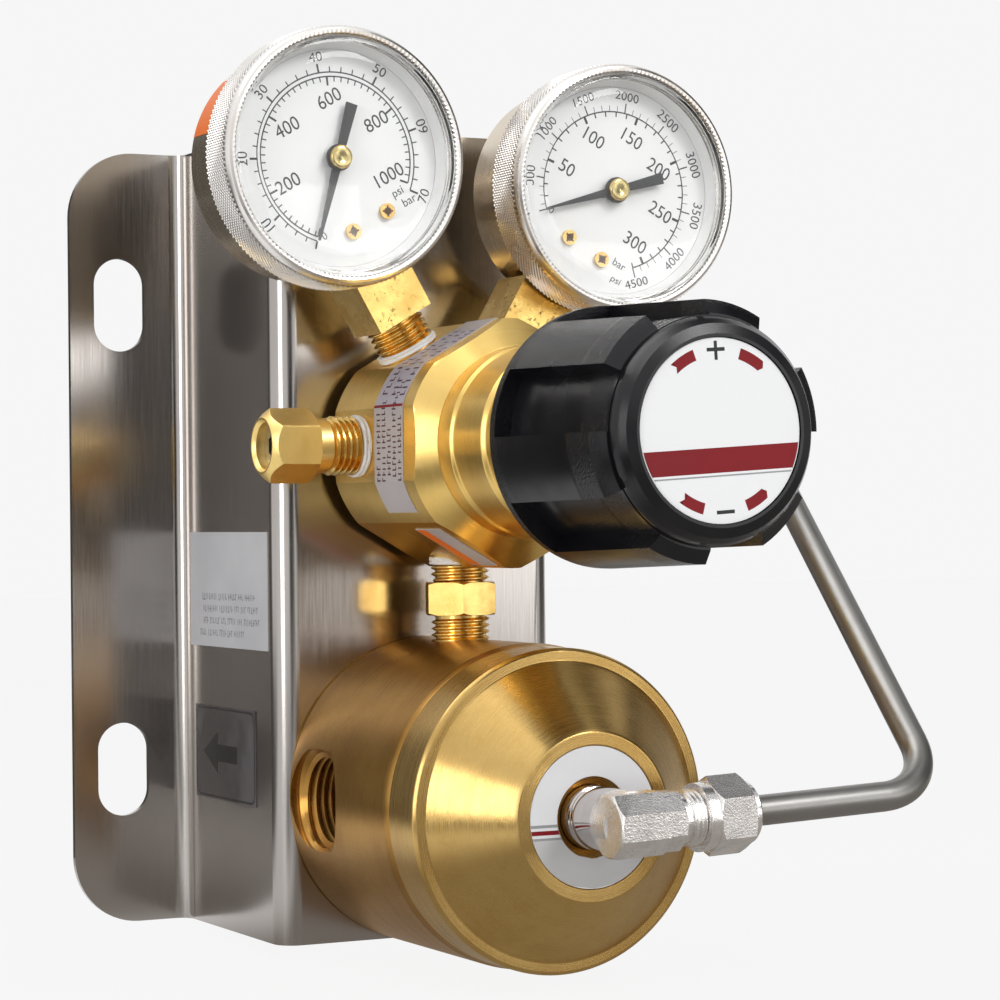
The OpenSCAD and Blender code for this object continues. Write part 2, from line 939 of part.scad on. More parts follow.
module pilot_poppet() {
    low = pilot_guide_floor + pilot_stroke + 0.5;
    top = pilot_shelf - 0.05;
    color(steel)
    on_pilot()
    rotate_extrude()
    polygon([
        [0, low], [pilot_guide_r - run, low], [pilot_guide_r - run, 17],
        [4.5, 17], [4.5, 21], [3.8, pilot_seat_floor], [1.2, pilot_seat_floor],
        [1.2, top], [0, top]
    ]);
}

module pilot_poppet_spring() {
    color(silver)
    on_pilot()
    coil(3.3, 0.45, pilot_valve_floor + gap, 17 - gap, 5);
}

module pilot_labels() {
    label_t = 0.2;
    color(white)
    on_pilot()
    union() {
        translate([0, 0, 25.6])
        linear_extrude(height = 14.4)
        intersection() {
            difference() {
                pilot_outline(0.03 + label_t);
                pilot_outline(0.03);
            }
            polygon([[0, 0], [-3, 60], [-60, 60], [-60, -42]]);
        }
        rotate([0, 0, 240])
        translate([pilot_flat + 0.03, -5.5, 30])
        cube([label_t, 16, 12]);
    }
}

module range_spring() {
    color(steel)
    on_pilot()
    coil(spring_r, spring_wire / 2, plate_top + gap, button_low - gap, 6);
}

module spring_button() {
    color(bright_brass)
    on_pilot()
    difference() {
        union() {
            disc(bonnet_bore_r - run, button_low, button_top);
            disc(spring_r - spring_wire / 2 - 0.5, button_low - 3, button_low + eps);
            for (s = [0, 180])
            rotate([0, 0, s])
            translate([bonnet_bore_r - 2, -key_w / 2 + run, button_low])
            cube([key_r - bonnet_bore_r + 2, key_w - 2 * run, button_top - button_low]);
        }
        disc(screw_r + run, button_low - 4, button_top + 1);
    }
}

module adjusting_screw() {
    color(steel)
    on_pilot()
    union() {
        disc(screw_r, screw_low, bonnet_ceiling - 4 + eps);
        disc(collar_r, bonnet_ceiling - 4, bonnet_ceiling - run);
        disc(shaft_r, bonnet_ceiling - run - eps, knob_hub_z + 5);
        intersection() {
            disc(shaft_r, knob_hub_z + 5 - eps, knob_pocket_z);
            translate([-drive_flat / 2, -10, 0])
            cube([drive_flat, 20, knob_end]);
        }
        disc(3, knob_pocket_z - eps, knob_pocket_z + 5.5);
    }
}

// Knob

module flute(a) {
    span = 360 / lobes - lobe_deg;
    rotate([0, 0, a - span / 2])
    rotate_extrude(angle = span)
    polygon([
        [flute_r, knob_back + 2.6], [knob_r + 5, knob_back + 2.6],
        [knob_r + 5, knob_end - 4], [flute_r - 0.8, knob_end - 4],
        [flute_r - 0.8, knob_back + 12]
    ]);
}

module knob() {
    color(black)
    on_pilot()
    difference() {
        rotate_extrude()
        polygon([
            [0, knob_back], [knob_r - 0.5, knob_back], [knob_r, knob_back + 0.5],
            [knob_r, knob_back + 2.6], [knob_r - 1.2, knob_end - 6.2],
            [ring_r + 0.6, knob_end - 4.3], [ring_r, knob_end - 4.3],
            [ring_r, knob_end - 2.9], [ring_r - 1.6, knob_end - 0.6],
            [knob_recess_r + 0.6, knob_end], [0, knob_end]
        ]);
        for (i = [0 : lobes - 1])
        flute(45 + i * 360 / lobes);
        difference() {
            disc(knob_skirt_r, knob_back - 1, knob_floor);
            disc(knob_hub_r, knob_hub_z, knob_floor + 1);
            for (a = [0 : 60 : 300])
            rotate([0, 0, a])
            translate([0, -0.9, knob_hub_z + 2])
            cube([knob_skirt_r + 1, 1.8, knob_floor - knob_hub_z]);
        }
        disc(shaft_r + gap, knob_hub_z - 1, knob_hub_z + 5 + gap);
        intersection() {
            disc(shaft_r + gap, knob_hub_z, knob_pocket_z + 1);
            translate([-drive_flat / 2 - gap, -10, 0])
            cube([drive_flat + 2 * gap, 20, knob_end]);
        }
        disc(8.2, knob_pocket_z, knob_end + 1);
        disc(knob_recess_r, knob_recess_z, knob_end + 1);
    }
}

module knob_nut() {
    color(silver)
    on_pilot()
    difference() {
        hex_bar(10, knob_pocket_z + gap, knob_pocket_z + 4.5);
        disc(3 + gap, knob_pocket_z - 1, knob_pocket_z + 6);
    }
}

module knob_label() {
    color(white)
    on_pilot()
    disc(knob_recess_r - 0.2, knob_recess_z + 0.03, knob_recess_z + 0.43);
}

// Relief valve

module on_relief() {
    on_pilot()
    radial(left_a, pilot_port_z)
    children();
}

module relief_body() {
    color(bright_brass)
    on_relief()
    difference() {
        union() {
            disc(small_thread_r, relief_in, pilot_flat + 0.5);
            disc(thread_root_r, pilot_flat + 0.5 - eps, relief_hex_lo - relief_neck_l + eps);
            disc(relief_neck_r, relief_hex_lo - relief_neck_l, relief_hex_lo + 1);
            hex_bar(hex_af, relief_hex_lo, relief_hex_hi);
        }
        rotate_extrude()
        polygon([
            [relief_face_r, relief_hex_hi + eps], [hex_af, relief_hex_hi + eps],
            [hex_af, relief_hex_hi - hex_af + relief_face_r]
        ]);
        disc(2.2, relief_in - 1, relief_seat + 1);
        disc(relief_spring_bore_r, relief_seat, relief_adjuster_in + 1);
        disc(relief_bore_r, relief_adjuster_in - 0.5, relief_hex_hi + 1);
        cone(relief_bore_r, relief_bore_r + 0.8, relief_hex_hi - 0.8, relief_hex_hi + eps);
    }
}

module relief_poppet() {
    stem_top = relief_adjuster_in - relief_stroke - 2.5;
    color(steel)
    on_relief()
    rotate_extrude()
    polygon([
        [0, relief_seat + gap], [3.2, relief_seat + gap],
        [relief_spring_bore_r - run, relief_seat + 1],
        [relief_spring_bore_r - run, relief_seat + 3], [1.8, relief_seat + 3],
        [1.8, stem_top], [0, stem_top]
    ]);
}

module relief_spring() {
    color(silver)
    on_relief()
    coil(3.6, 0.5, relief_seat + 3 + gap, relief_adjuster_in - gap, 6);
}

module relief_adjuster() {
    color(silver)
    on_relief()
    difference() {
        disc(relief_bore_r - gap, relief_adjuster_in, relief_adjuster_out);
        translate([0, 0, relief_adjuster_in - 1])
        rotate([0, 0, 30])
        cylinder(r = 2.9, h = relief_adjuster_out - relief_adjuster_in + 2, $fn = 6);
    }
}

// Gauges

module gauge_case() {
    color(bronze)
    difference() {
        rotate_extrude()
        polygon([
            [0, case_back], [case_r - 1.5, case_back], [case_r, case_back + 1.5],
            [case_r, case_front], [0, case_front]
        ]);
        disc(case_r - case_wall, case_back + case_wall, case_front + 1);
        rotate([90, 0, 0])
        cylinder(r = 5.1, h = case_r + 5);
    }
}

module gauge_socket(stem) {
    block_x = 6.5;
    port_y = case_r + stem - 0.5;
    stem_end = case_r + stem + thread_in;
    color(bright_brass)
    difference() {
        union() {
            translate([-socket_half, socket_low, -socket_half])
            cube([2 * socket_half, socket_top - socket_low, 2 * socket_half]);
            rotate([90, 0, 0])
            disc(5.1 - gap, 20, -socket_top + eps);
            rotate([90, 0, 0])
            disc(thread_root_r, -socket_low - eps, port_y + eps);
            rotate([90, 0, 0])
            disc(small_thread_r, port_y, stem_end);
            translate([-block_x, 2.5 - case_r, -5])
            cube([2 * block_x, block_top + case_r - 2.5, 10]);
            for (s = [-1, 1])
            translate([s * screw_x, screw_y, 0])
            disc(1.7, 5 - eps, dial_z - gap);
        }
        rotate([90, 0, 0])
        disc(2, 18, stem_end + 1);
        for (s = [-1, 1])
        translate([s * screw_x, screw_y, 0])
        disc(1 + gap, dial_z - 5, dial_z + 1);
        bourdon(bourdon_w + gap, bourdon_a - 3, 20);
    }
}

// Curved round bar on the pressure tube's centre line
module bourdon(r, from, span) {
    translate([0, 0, bourdon_z])
    rotate([0, 0, from])
    rotate_extrude(angle = span)
    translate([bourdon_r, 0])
    circle(r = r);
}

module gauge_tube() {
    color(bright_brass)
    union() {
        bourdon(bourdon_w, bourdon_a, bourdon_span);
        translate([0, 0, bourdon_z])
        rotate([0, 0, bourdon_a + bourdon_span])
        translate([bourdon_r, -eps, 0])
        rotate([-90, 0, 0])
        cylinder(r = bourdon_w + 0.4, h = 2);
    }
}

module gauge_movement() {
    color(bright_brass)
    difference() {
        union() {
            translate([-6, block_top + gap, 0])
            cube([12, 6 - block_top, 0.9]);
            translate([-6, -7, 7.6])
            cube([12, 13, 0.9]);
            for (s = [-1, 1])
            translate([s * 4.4, -4.5, 0])
            disc(1.2, 0.5, 8);
            translate([-4, block_top + gap, -4])
            cube([8, 3, 4.9]);
        }
        disc(0.8 + run, -1, 10);
    }
}

module gauge_dial() {
    color(white)
    difference() {
        disc(dial_r, dial_z, dial_z + dial_t);
        disc(2, dial_z - 1, dial_z + 2);
        for (s = [-1, 1])
        translate([s * screw_x, screw_y, 0])
        disc(1.1, dial_z - 1, dial_z + 2);
    }
}

module gauge_dial_screws() {
    color(bright_brass)
    for (s = [-1, 1])
    translate([s * screw_x, screw_y, 0]) {
        disc(1, dial_z - 4.5, dial_z + dial_t + gap + eps);
        disc(1.7, dial_z + dial_t + gap, dial_z + dial_t + 0.9);
    }
}

module gauge_pointer() {
    color(black)
    rotate([0, 0, zero_a])
    difference() {
        union() {
            translate([0, 0, 14.2])
            linear_extrude(height = 0.6)
            polygon([
                [-pointer_tail, -1.3], [-3, -0.9], [3, -0.9], [pointer_tip, -0.2],
                [pointer_tip, 0.2], [3, 0.9], [-3, 0.9], [-pointer_tail, 1.3]
            ]);
            disc(2.9, 14.2, 14.8);
        }
        disc(1.2 + gap, 13, 16);
    }
}

module gauge_arbor() {
    color(bright_brass)
    union() {
        disc(0.8, -0.6, 14);
        disc(1.7, 3, 6);
        disc(1.2, 14 - eps, 14.9);
        disc(2.5, 14.8 + gap, 16);
    }
}

module gauge_bezel() {
    color(silver)
    rotate_extrude()
    polygon([
        [case_r + gap, bezel_back], [bezel_r - 0.3, bezel_back], [bezel_r, bezel_back + 0.3],
        [bezel_r, bezel_front - 1.2], [bezel_r - 1.1, bezel_front], [lip_r, bezel_front],
        [lip_r, window_z + 1.9], [window_r + gap, window_z + 1.9],
        [window_r + gap, window_z - gap], [case_r + gap, window_z - gap]
    ]);
}

module gauge_window() {
    skirt_r = dial_r - 0.1;
    color([0.85, 0.88, 0.90, 0.35])
    rotate_extrude()
    polygon([
        [0, window_z], [skirt_r - 0.8, window_z], [skirt_r - 0.8, dial_z + dial_t + gap],
        [skirt_r, dial_z + dial_t + gap], [skirt_r, window_z], [window_r, window_z],
        [window_r, window_z + 1.8], [lip_r - 0.1, window_z + 1.8], [lip_r - 0.1, window_z + 2.6],
        [lip_r - 1.2, window_z + 3.4], [0, window_z + 3.6]
    ]);
}

module outlet_gauge() {
    on_gauge(1, outlet_stem)
    children();
}

module inlet_gauge() {
    on_gauge(-1, inlet_stem)
    children();
}

module outlet_gauge_case() { outlet_gauge() gauge_case(); }
module outlet_gauge_socket() { outlet_gauge() gauge_socket(outlet_stem); }
module outlet_gauge_tube() { outlet_gauge() gauge_tube(); }
module outlet_gauge_movement() { outlet_gauge() gauge_movement(); }
module outlet_gauge_dial() { outlet_gauge() gauge_dial(); }
module outlet_gauge_dial_screws() { outlet_gauge() gauge_dial_screws(); }
module outlet_gauge_pointer() { outlet_gauge() gauge_pointer(); }
module outlet_gauge_arbor() { outlet_gauge() gauge_arbor(); }
module outlet_gauge_bezel() { outlet_gauge() gauge_bezel(); }
module outlet_gauge_window() { outlet_gauge() gauge_window(); }
module inlet_gauge_case() { inlet_gauge() gauge_case(); }
module inlet_gauge_socket() { inlet_gauge() gauge_socket(inlet_stem); }
module inlet_gauge_tube() { inlet_gauge() gauge_tube(); }
module inlet_gauge_movement() { inlet_gauge() gauge_movement(); }
module inlet_gauge_dial() { inlet_gauge() gauge_dial(); }
module inlet_gauge_dial_screws() { inlet_gauge() gauge_dial_screws(); }
module inlet_gauge_pointer() { inlet_gauge() gauge_pointer(); }
module inlet_gauge_arbor() { inlet_gauge() gauge_arbor(); }
module inlet_gauge_bezel() { inlet_gauge() gauge_bezel(); }
module inlet_gauge_window() { inlet_gauge() gauge_window(); }

bracket();
bracket_labels();
main_mount_screws();
pilot_mount_screws();
main_body();
dome_cap();
main_diaphragm();
main_diaphragm_plate();
main_seat();
main_poppet();
main_poppet_spring();
dome_label();
dome_elbow();
dome_tube_nut();
dome_ferrules();
loading_tube();
pilot_connector();
pilot_tube_nut();
pilot_ferrules();
hex_nipple();
pilot_body();
pilot_bonnet();
pilot_diaphragm();
pilot_diaphragm_plate();
pilot_seat();
pilot_poppet();
pilot_poppet_spring();
pilot_labels();
range_spring();
spring_button();
adjusting_screw();
knob();
knob_nut();
knob_label();
relief_body();
relief_poppet();
relief_spring();
relief_adjuster();
outlet_gauge_case();
outlet_gauge_socket();
outlet_gauge_tube();
outlet_gauge_movement();
outlet_gauge_dial();
outlet_gauge_dial_screws();
outlet_gauge_pointer();
outlet_gauge_arbor();
outlet_gauge_bezel();
outlet_gauge_window();
inlet_gauge_case();
inlet_gauge_socket();
inlet_gauge_tube();
inlet_gauge_movement();
inlet_gauge_dial();
inlet_gauge_dial_screws();
inlet_gauge_pointer();
inlet_gauge_arbor();
inlet_gauge_bezel();
inlet_gauge_window();
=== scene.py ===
"""Looks of a wall-mounted dome-loaded regulator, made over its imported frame.

Blender works in metres in the frame's own axes: +Z is up and the object faces -Y.
Shapes are drawn in millimetres in local frames and placed by a matrix.
"""
import json
import math
import random

import bmesh
import bpy
from mathutils import Matrix, Vector, noise


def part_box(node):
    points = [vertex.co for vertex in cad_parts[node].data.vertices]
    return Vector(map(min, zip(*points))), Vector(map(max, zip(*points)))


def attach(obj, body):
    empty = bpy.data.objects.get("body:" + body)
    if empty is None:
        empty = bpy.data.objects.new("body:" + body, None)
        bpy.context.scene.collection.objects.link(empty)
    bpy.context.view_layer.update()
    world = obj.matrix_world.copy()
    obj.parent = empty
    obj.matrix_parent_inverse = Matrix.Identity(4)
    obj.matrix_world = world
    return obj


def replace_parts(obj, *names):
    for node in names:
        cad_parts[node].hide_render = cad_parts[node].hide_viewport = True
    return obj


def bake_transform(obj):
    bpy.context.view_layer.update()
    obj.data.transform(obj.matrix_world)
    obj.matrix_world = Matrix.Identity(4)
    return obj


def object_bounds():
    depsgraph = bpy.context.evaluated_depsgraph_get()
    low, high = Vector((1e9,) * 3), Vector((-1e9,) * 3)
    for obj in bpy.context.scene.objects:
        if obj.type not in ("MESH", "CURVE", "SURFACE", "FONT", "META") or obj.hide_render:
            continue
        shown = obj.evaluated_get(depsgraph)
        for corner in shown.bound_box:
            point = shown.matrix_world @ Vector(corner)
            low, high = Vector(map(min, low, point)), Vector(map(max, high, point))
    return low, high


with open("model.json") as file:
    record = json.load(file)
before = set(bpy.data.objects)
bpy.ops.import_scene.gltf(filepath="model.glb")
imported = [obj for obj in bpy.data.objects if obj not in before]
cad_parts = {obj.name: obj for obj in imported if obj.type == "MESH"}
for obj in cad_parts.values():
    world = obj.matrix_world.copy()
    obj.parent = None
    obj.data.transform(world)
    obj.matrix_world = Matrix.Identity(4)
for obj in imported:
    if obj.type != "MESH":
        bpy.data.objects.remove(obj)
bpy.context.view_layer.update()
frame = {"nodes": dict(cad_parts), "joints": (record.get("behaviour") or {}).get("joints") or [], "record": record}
nodes = frame["nodes"]
joints = {j["name"]: j for j in frame["joints"]}
MM = 0.001
ROOT = "regulator"

# Sizes in millimetres, measured out from the bracket's plate or from an axis
PORT_R = 10.6
PORT_CREST = 9.45
PORT_Z = 13.6
HUB_TOP = 78.5
ELBOW_Z = 95.0
ELBOW_TILT = 2.3
PILOT_FLAT = 24.4
PILOT_R = 25.7
PILOT_PORT_Z = 17.4
THREAD_ROOT = 5.6
THREAD_CREST = 6.55
THREAD_PITCH = 1.41
PORT_PITCH = 1.81
KNOB_END = 130.5
KNOB_RECESS = 0.8
KNOB_LABEL_T = 0.43
DOME_LABEL_SUNK = 0.2
INK = 0.02
CASE_R = 25.4
BEZEL_R = 28.3
BEZEL_BACK = 8.2
BEZEL_FRONT = 20.1
LIP_R = 25.7
WINDOW_Z = 17.0
DIAL_R = 24.1
DIAL_TOP = 13.0
SCREW_X = 4.7
SCREW_Y = -15.4
SCREW_TOP = DIAL_TOP + 0.93
HUB_FACE_Z = 16.02

# A dial's scale: the angle of its zero, its sweep and the stop at its first mark, in degrees
ZERO_ANGLE = 234
SWEEP = 279
FIRST_ANGLE = 225.5
PSI_PER_BAR = 14.5038

# Corners nearer than this are one corner, in metres
MERGE = 2e-7
WELD = 2e-6

# Frames


def shift(x, y, z):
    """A move given in millimetres."""
    return Matrix.Translation(Vector((x, y, z)) * MM)


def turn(degrees, axis):
    """A turn about one of the axes."""
    return Matrix.Rotation(math.radians(degrees), 4, axis)


plate_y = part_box("bracket")[0].y
knob_at = Vector(joints["knob_turn"]["pos_m"])
cap_low, cap_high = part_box("dome_cap")
main_at = (cap_low + cap_high) / 2
PILOT = Matrix.Translation((knob_at.x, plate_y, knob_at.z)) @ turn(90, "X")
MAIN = Matrix.Translation((main_at.x, plate_y, main_at.z)) @ turn(90, "X")


def radial(base, angle, z):
    """Local z runs outwards along the angle, from the axis at height z."""
    return base @ turn(angle, "Z") @ shift(0, 0, z) @ turn(90, "Y")


def gauge_frame(joint):
    """Local y runs away from the stem and z to the front, from the pointer's centre."""
    centre = Vector(joint["pos_m"])
    front = -Vector(joint["axis"])
    up = (centre - Vector((knob_at.x, centre.y, knob_at.z))).normalized()
    across = up.cross(front)
    rows = [[across[i], up[i], front[i], centre[i]] for i in range(3)] + [[0, 0, 0, 1]]
    return Matrix(rows)


OUTLET_GAUGE = gauge_frame(joints["outlet_pointer_turn"])
INLET_GAUGE = gauge_frame(joints["inlet_pointer_turn"])
RELIEF = radial(PILOT, 180, PILOT_PORT_Z)
NIPPLE = radial(MAIN, 90, PILOT_PORT_Z)
ELBOW = MAIN @ shift(0, 0, ELBOW_Z) @ turn(ELBOW_TILT, "Z") @ turn(90, "Y")


# Mesh shapes: each gives its corners and faces


def polar(r, a, z=0):
    """A point at a radius, an angle in radians and a height."""
    return r * math.cos(a), r * math.sin(a), z


def ring_faces(rows, steps, closed):
    """Quads between rows of points that run round a full turn."""
    faces = []
    for i in range(rows if closed else rows - 1):
        for j in range(steps):
            a, b = i * steps + j, i * steps + (j + 1) % steps
            c, d = ((i + 1) % rows) * steps + (j + 1) % steps, ((i + 1) % rows) * steps + j
            faces.append((a, b, c, d))
    return faces


def turned(profile, steps=96, shape=None):
    """A closed outline of (radius, height) turned round z; shape(r, angle, z) may change r."""
    verts = []
    for r, z in profile:
        for j in range(steps):
            a = 2 * math.pi * j / steps
            q = shape(r, a, z) if shape else r
            verts.append(polar(q, a, z))
    return verts, ring_faces(len(profile), steps, True)


def thread(root, crest, z0, z1, pitch, steps=48):
    """A helical ridge from the root radius to the crest radius, which may be the smaller."""
    buried = math.copysign(0.12, root - crest)
    foot, crown = 0.47, 0.07  # half widths of the ridge, in pitches
    run_out = steps / 3
    count = int(steps * (z1 - z0) / pitch)
    verts = []
    for i in range(count + 1):
        a = 2 * math.pi * i / steps
        z = z0 + pitch * i / steps
        fade = min(1.0, i / run_out, (count - i) / run_out)
        top = root + (crest - root) * fade
        outline = [(root + buried, -foot), (top, -crown), (top, crown), (root + buried, foot)]
        for r, dz in outline:
            verts.append(polar(r, a, z + dz * pitch))
    faces = []
    for i in range(count):
        for j in range(4):
            k = (j + 1) % 4
            faces.append((i * 4 + j, i * 4 + k, (i + 1) * 4 + k, (i + 1) * 4 + j))
    faces.append((3, 2, 1, 0))
    last = count * 4
    faces.append((last, last + 1, last + 2, last + 3))
    return verts, faces


def bar(x0, x1, y0, y1):
    """A flat printed rectangle."""
    return [(x0, y0, 0), (x1, y0, 0), (x1, y1, 0), (x0, y1, 0)], [(0, 1, 2, 3)]


def strip(steps):
    """The faces of a band whose corners come in pairs."""
    return [(2 * i, 2 * i + 1, 2 * i + 3, 2 * i + 2) for i in range(steps)]


def arc(r0, r1, a0, a1, steps):
    """A flat printed band between two angles, in degrees."""
    verts = []
    for i in range(steps + 1):
        a = math.radians(a0 + (a1 - a0) * i / steps)
        verts += [polar(r0, a), polar(r1, a)]
    return verts, strip(steps)


def moved(shape, matrix):
    """The same shape, moved by a matrix whose shifts are in metres."""
    verts, faces = shape
    return [tuple((matrix @ (Vector(v) * MM)) / MM) for v in verts], faces


def joined(shapes):
    """Several shapes as one."""
    verts, faces = [], []
    for v, f in shapes:
        n = len(verts)
        verts += v
        faces += [tuple(i + n for i in face) for face in f]
    return verts, faces


def letters(text, size, x, y, spin=0.0, wide=1.0):
    """Flat figures centred at x, y and turned by spin degrees."""
    curve = bpy.data.curves.new("figures", "FONT")
    curve.body = text
    curve.size = size
    curve.align_x, curve.align_y = "CENTER", "CENTER"
    curve.resolution_u = 4
    holder = bpy.data.objects.new("figures", curve)
    data = holder.to_mesh()
    faces = [tuple(p.vertices) for p in data.polygons]
    spot = turn(spin, "Z")
    spot.translation = Vector((x, y, 0))
    verts = [tuple(spot @ Vector((v.co.x * wide, v.co.y, 0))) for v in data.vertices]
    holder.to_mesh_clear()
    bpy.data.objects.remove(holder)
    bpy.data.curves.remove(curve)
    return verts, faces


def piece(name, shape, place, body, look, sharp=35.0, flat=False):
    """Makes an object of a local shape and lets it ride on a CAD body."""
    verts, faces = shape
    data = bpy.data.meshes.new(name)
    data.from_pydata([place @ (Vector(v) * MM) for v in verts], [], faces)
    bm = bmesh.new()
    bm.from_mesh(data)
    bmesh.ops.remove_doubles(bm, verts=bm.verts, dist=MERGE)
    if not flat:
        bmesh.ops.recalc_face_normals(bm, faces=bm.faces)
    bm.to_mesh(data)
    bm.free()
    data.shade_smooth()
    data.set_sharp_from_angle(angle=math.radians(sharp))
    data.materials.append(look)
    made = bpy.data.objects.new(name, data)
    bpy.context.scene.collection.objects.link(made)
    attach(made, body)
    return made


# Materials


class Look:
    """A material with one Principled shader and short ways to add patterns to it."""

    def __init__(self, name, colour, metallic=0.0, rough=0.5, **sockets):
        self.material = bpy.data.materials.new(name)
        self.material.use_nodes = True
        self.tree = self.material.node_tree
        self.shader = self.tree.nodes["Principled BSDF"]
        self.set("Base Color", (*colour, 1))
        self.set("Metallic", metallic)
        self.set("Roughness", rough)
        for socket, value in sockets.items():
            self.set(socket.replace("_", " "), value)
        self.normal = None

    def set(self, socket, value):
        """Sets a constant on a socket of the shader."""
        self.shader.inputs[socket].default_value = value

    def node(self, kind, **values):
        """Adds a node and sets its properties."""
        made = self.tree.nodes.new(kind)
        for key, value in values.items():
            setattr(made, key, value)
        return made

    def link(self, a, b):
        """Links an output to an input."""
        self.tree.links.new(a, b)

    def axes(self, vector):
        """The outputs X, Y and Z of a vector."""
        split = self.node("ShaderNodeSeparateXYZ")
        self.link(vector, split.inputs[0])
        return split.outputs

    def scaled(self, source, factor):
        """A pattern times a constant."""
        made = self.node("ShaderNodeMath", operation="MULTIPLY")
        made.inputs[1].default_value = factor
        self.link(source, made.inputs[0])
        return made.outputs[0]

    def place(self, scale=(1, 1, 1), local=None):
        """Row-frame coordinates, or those of a local frame, times a scale per metre."""
        coord = self.node("ShaderNodeTexCoord").outputs["Object"]
        if local is not None:
            back = local.inverted()
            into = self.node("ShaderNodeMapping")
            into.inputs["Location"].default_value = back.to_translation()
            into.inputs["Rotation"].default_value = back.to_euler()
            self.link(coord, into.inputs["Vector"])
            coord = into.outputs["Vector"]
        sized = self.node("ShaderNodeMapping")
        sized.inputs["Scale"].default_value = scale
        self.link(coord, sized.inputs["Vector"])
        return sized.outputs["Vector"]

    def round(self, local, per_radius, per_height, per_angle=0.0):
        """Coordinates made of the distance from a local axis, the height and the angle."""
        axes = self.axes(self.place(local=local))
        flat = self.node("ShaderNodeCombineXYZ")
        self.link(axes["X"], flat.inputs["X"])
        self.link(axes["Y"], flat.inputs["Y"])
        length = self.node("ShaderNodeVectorMath", operation="LENGTH")
        self.link(flat.outputs[0], length.inputs[0])
        angle = self.node("ShaderNodeMath", operation="ARCTAN2")
        self.link(axes["Y"], angle.inputs[0])
        self.link(axes["X"], angle.inputs[1])
        out = self.node("ShaderNodeCombineXYZ")
        sources = ((length.outputs["Value"], per_radius), (axes["Z"], per_height),
                   (angle.outputs[0], per_angle))
        for i, (source, scale) in enumerate(sources):
            self.link(self.scaled(source, scale), out.inputs[i])
        return out.outputs[0]

    def noise(self, vector, scale=1.0, detail=3.0, rough=0.55):
        """A cloudy pattern from 0 to 1."""
        made = self.node("ShaderNodeTexNoise")
        made.inputs["Scale"].default_value = scale
        made.inputs["Detail"].default_value = detail
        made.inputs["Roughness"].default_value = rough
        self.link(vector, made.inputs["Vector"])
        return made.outputs["Fac"]

    def product(self, a, b, operation="MULTIPLY"):
        """Two patterns multiplied, or joined by another operation."""
        made = self.node("ShaderNodeMath", operation=operation)
        self.link(a, made.inputs[0])
        self.link(b, made.inputs[1])
        return made.outputs[0]

    def either(self, a, b):
        """The higher of two patterns."""
        return self.product(a, b, "MAXIMUM")

    def ramp(self, fac, low, high, start=0.3, end=0.7):
        """Maps a pattern from start..end to low..high: numbers or colours."""
        if isinstance(low, (int, float)):
            made = self.node("ShaderNodeMapRange")
            for i, value in enumerate((start, end, low, high), 1):
                made.inputs[i].default_value = value
            self.link(fac, made.inputs[0])
            return made.outputs[0]
        made = self.node("ShaderNodeValToRGB")
        first, last = made.color_ramp.elements
        first.position, last.position = start, end
        first.color, last.color = (*low, 1), (*high, 1)
        self.link(fac, made.inputs["Fac"])
        return made.outputs["Color"]

    def step(self, source, at, width, low=0.0, high=1.0):
        """Goes from low to high where a pattern passes a value, over a width."""
        return self.ramp(source, low, high, at - width / 2, at + width / 2)

    def paint(self, source):
        """Makes a pattern the base colour."""
        self.link(source, self.shader.inputs["Base Color"])
        return source

    def stain(self, source, colour, fac):
        """Mixes a colour over the present base colour where fac is high."""
        mix = self.node("ShaderNodeMix", data_type="RGBA")
        self.link(fac, mix.inputs["Factor"])
        self.link(source, mix.inputs[6])
        mix.inputs[7].default_value = (*colour, 1)
        self.paint(mix.outputs[2])
        return mix.outputs[2]

    def roughen(self, source):
        """Makes a pattern the roughness."""
        self.link(source, self.shader.inputs["Roughness"])

    def grain(self, local):
        """Stretches highlights across the rings that a lathe leaves about the local z axis."""
        axes = self.axes(self.place(local=local))
        along = self.node("ShaderNodeCombineXYZ")
        self.link(self.scaled(axes["Y"], -1.0), along.inputs["X"])
        self.link(axes["X"], along.inputs["Y"])
        back = self.node("ShaderNodeMapping", vector_type="VECTOR")
        back.inputs["Rotation"].default_value = local.to_euler()
        self.link(along.outputs[0], back.inputs["Vector"])
        unit = self.node("ShaderNodeVectorMath", operation="NORMALIZE")
        self.link(back.outputs["Vector"], unit.inputs[0])
        self.link(unit.outputs["Vector"], self.shader.inputs["Tangent"])
        self.set("Anisotropic", 0.65)
        self.set("Anisotropic Rotation", 0.25)

    def bump(self, height, depth_mm, strength=1.0):
        """Adds a relief over the reliefs that are there already."""
        made = self.node("ShaderNodeBump")
        made.inputs["Distance"].default_value = depth_mm * MM
        made.inputs["Strength"].default_value = strength
        self.link(height, made.inputs["Height"])
        if self.normal:
            self.link(self.normal, made.inputs["Normal"])
        self.normal = made.outputs["Normal"]
        self.link(self.normal, self.shader.inputs["Normal"])

    def glow(self, colour, kind="ShaderNodeEmission"):
        """A shader with a plain glow of one colour."""
        made = self.node(kind)
        made.inputs["Color"].default_value = (*colour, 1)
        return made.outputs[0]

    def surface(self, fac, first, second, output="Material Output"):
        """Shows a mix of two shaders as the surface."""
        mix = self.node("ShaderNodeMixShader")
        self.link(fac, mix.inputs["Fac"])
        self.link(first, mix.inputs[1])
        self.link(second, mix.inputs[2])
        self.link(mix.outputs[0], self.tree.nodes[output].inputs["Surface"])


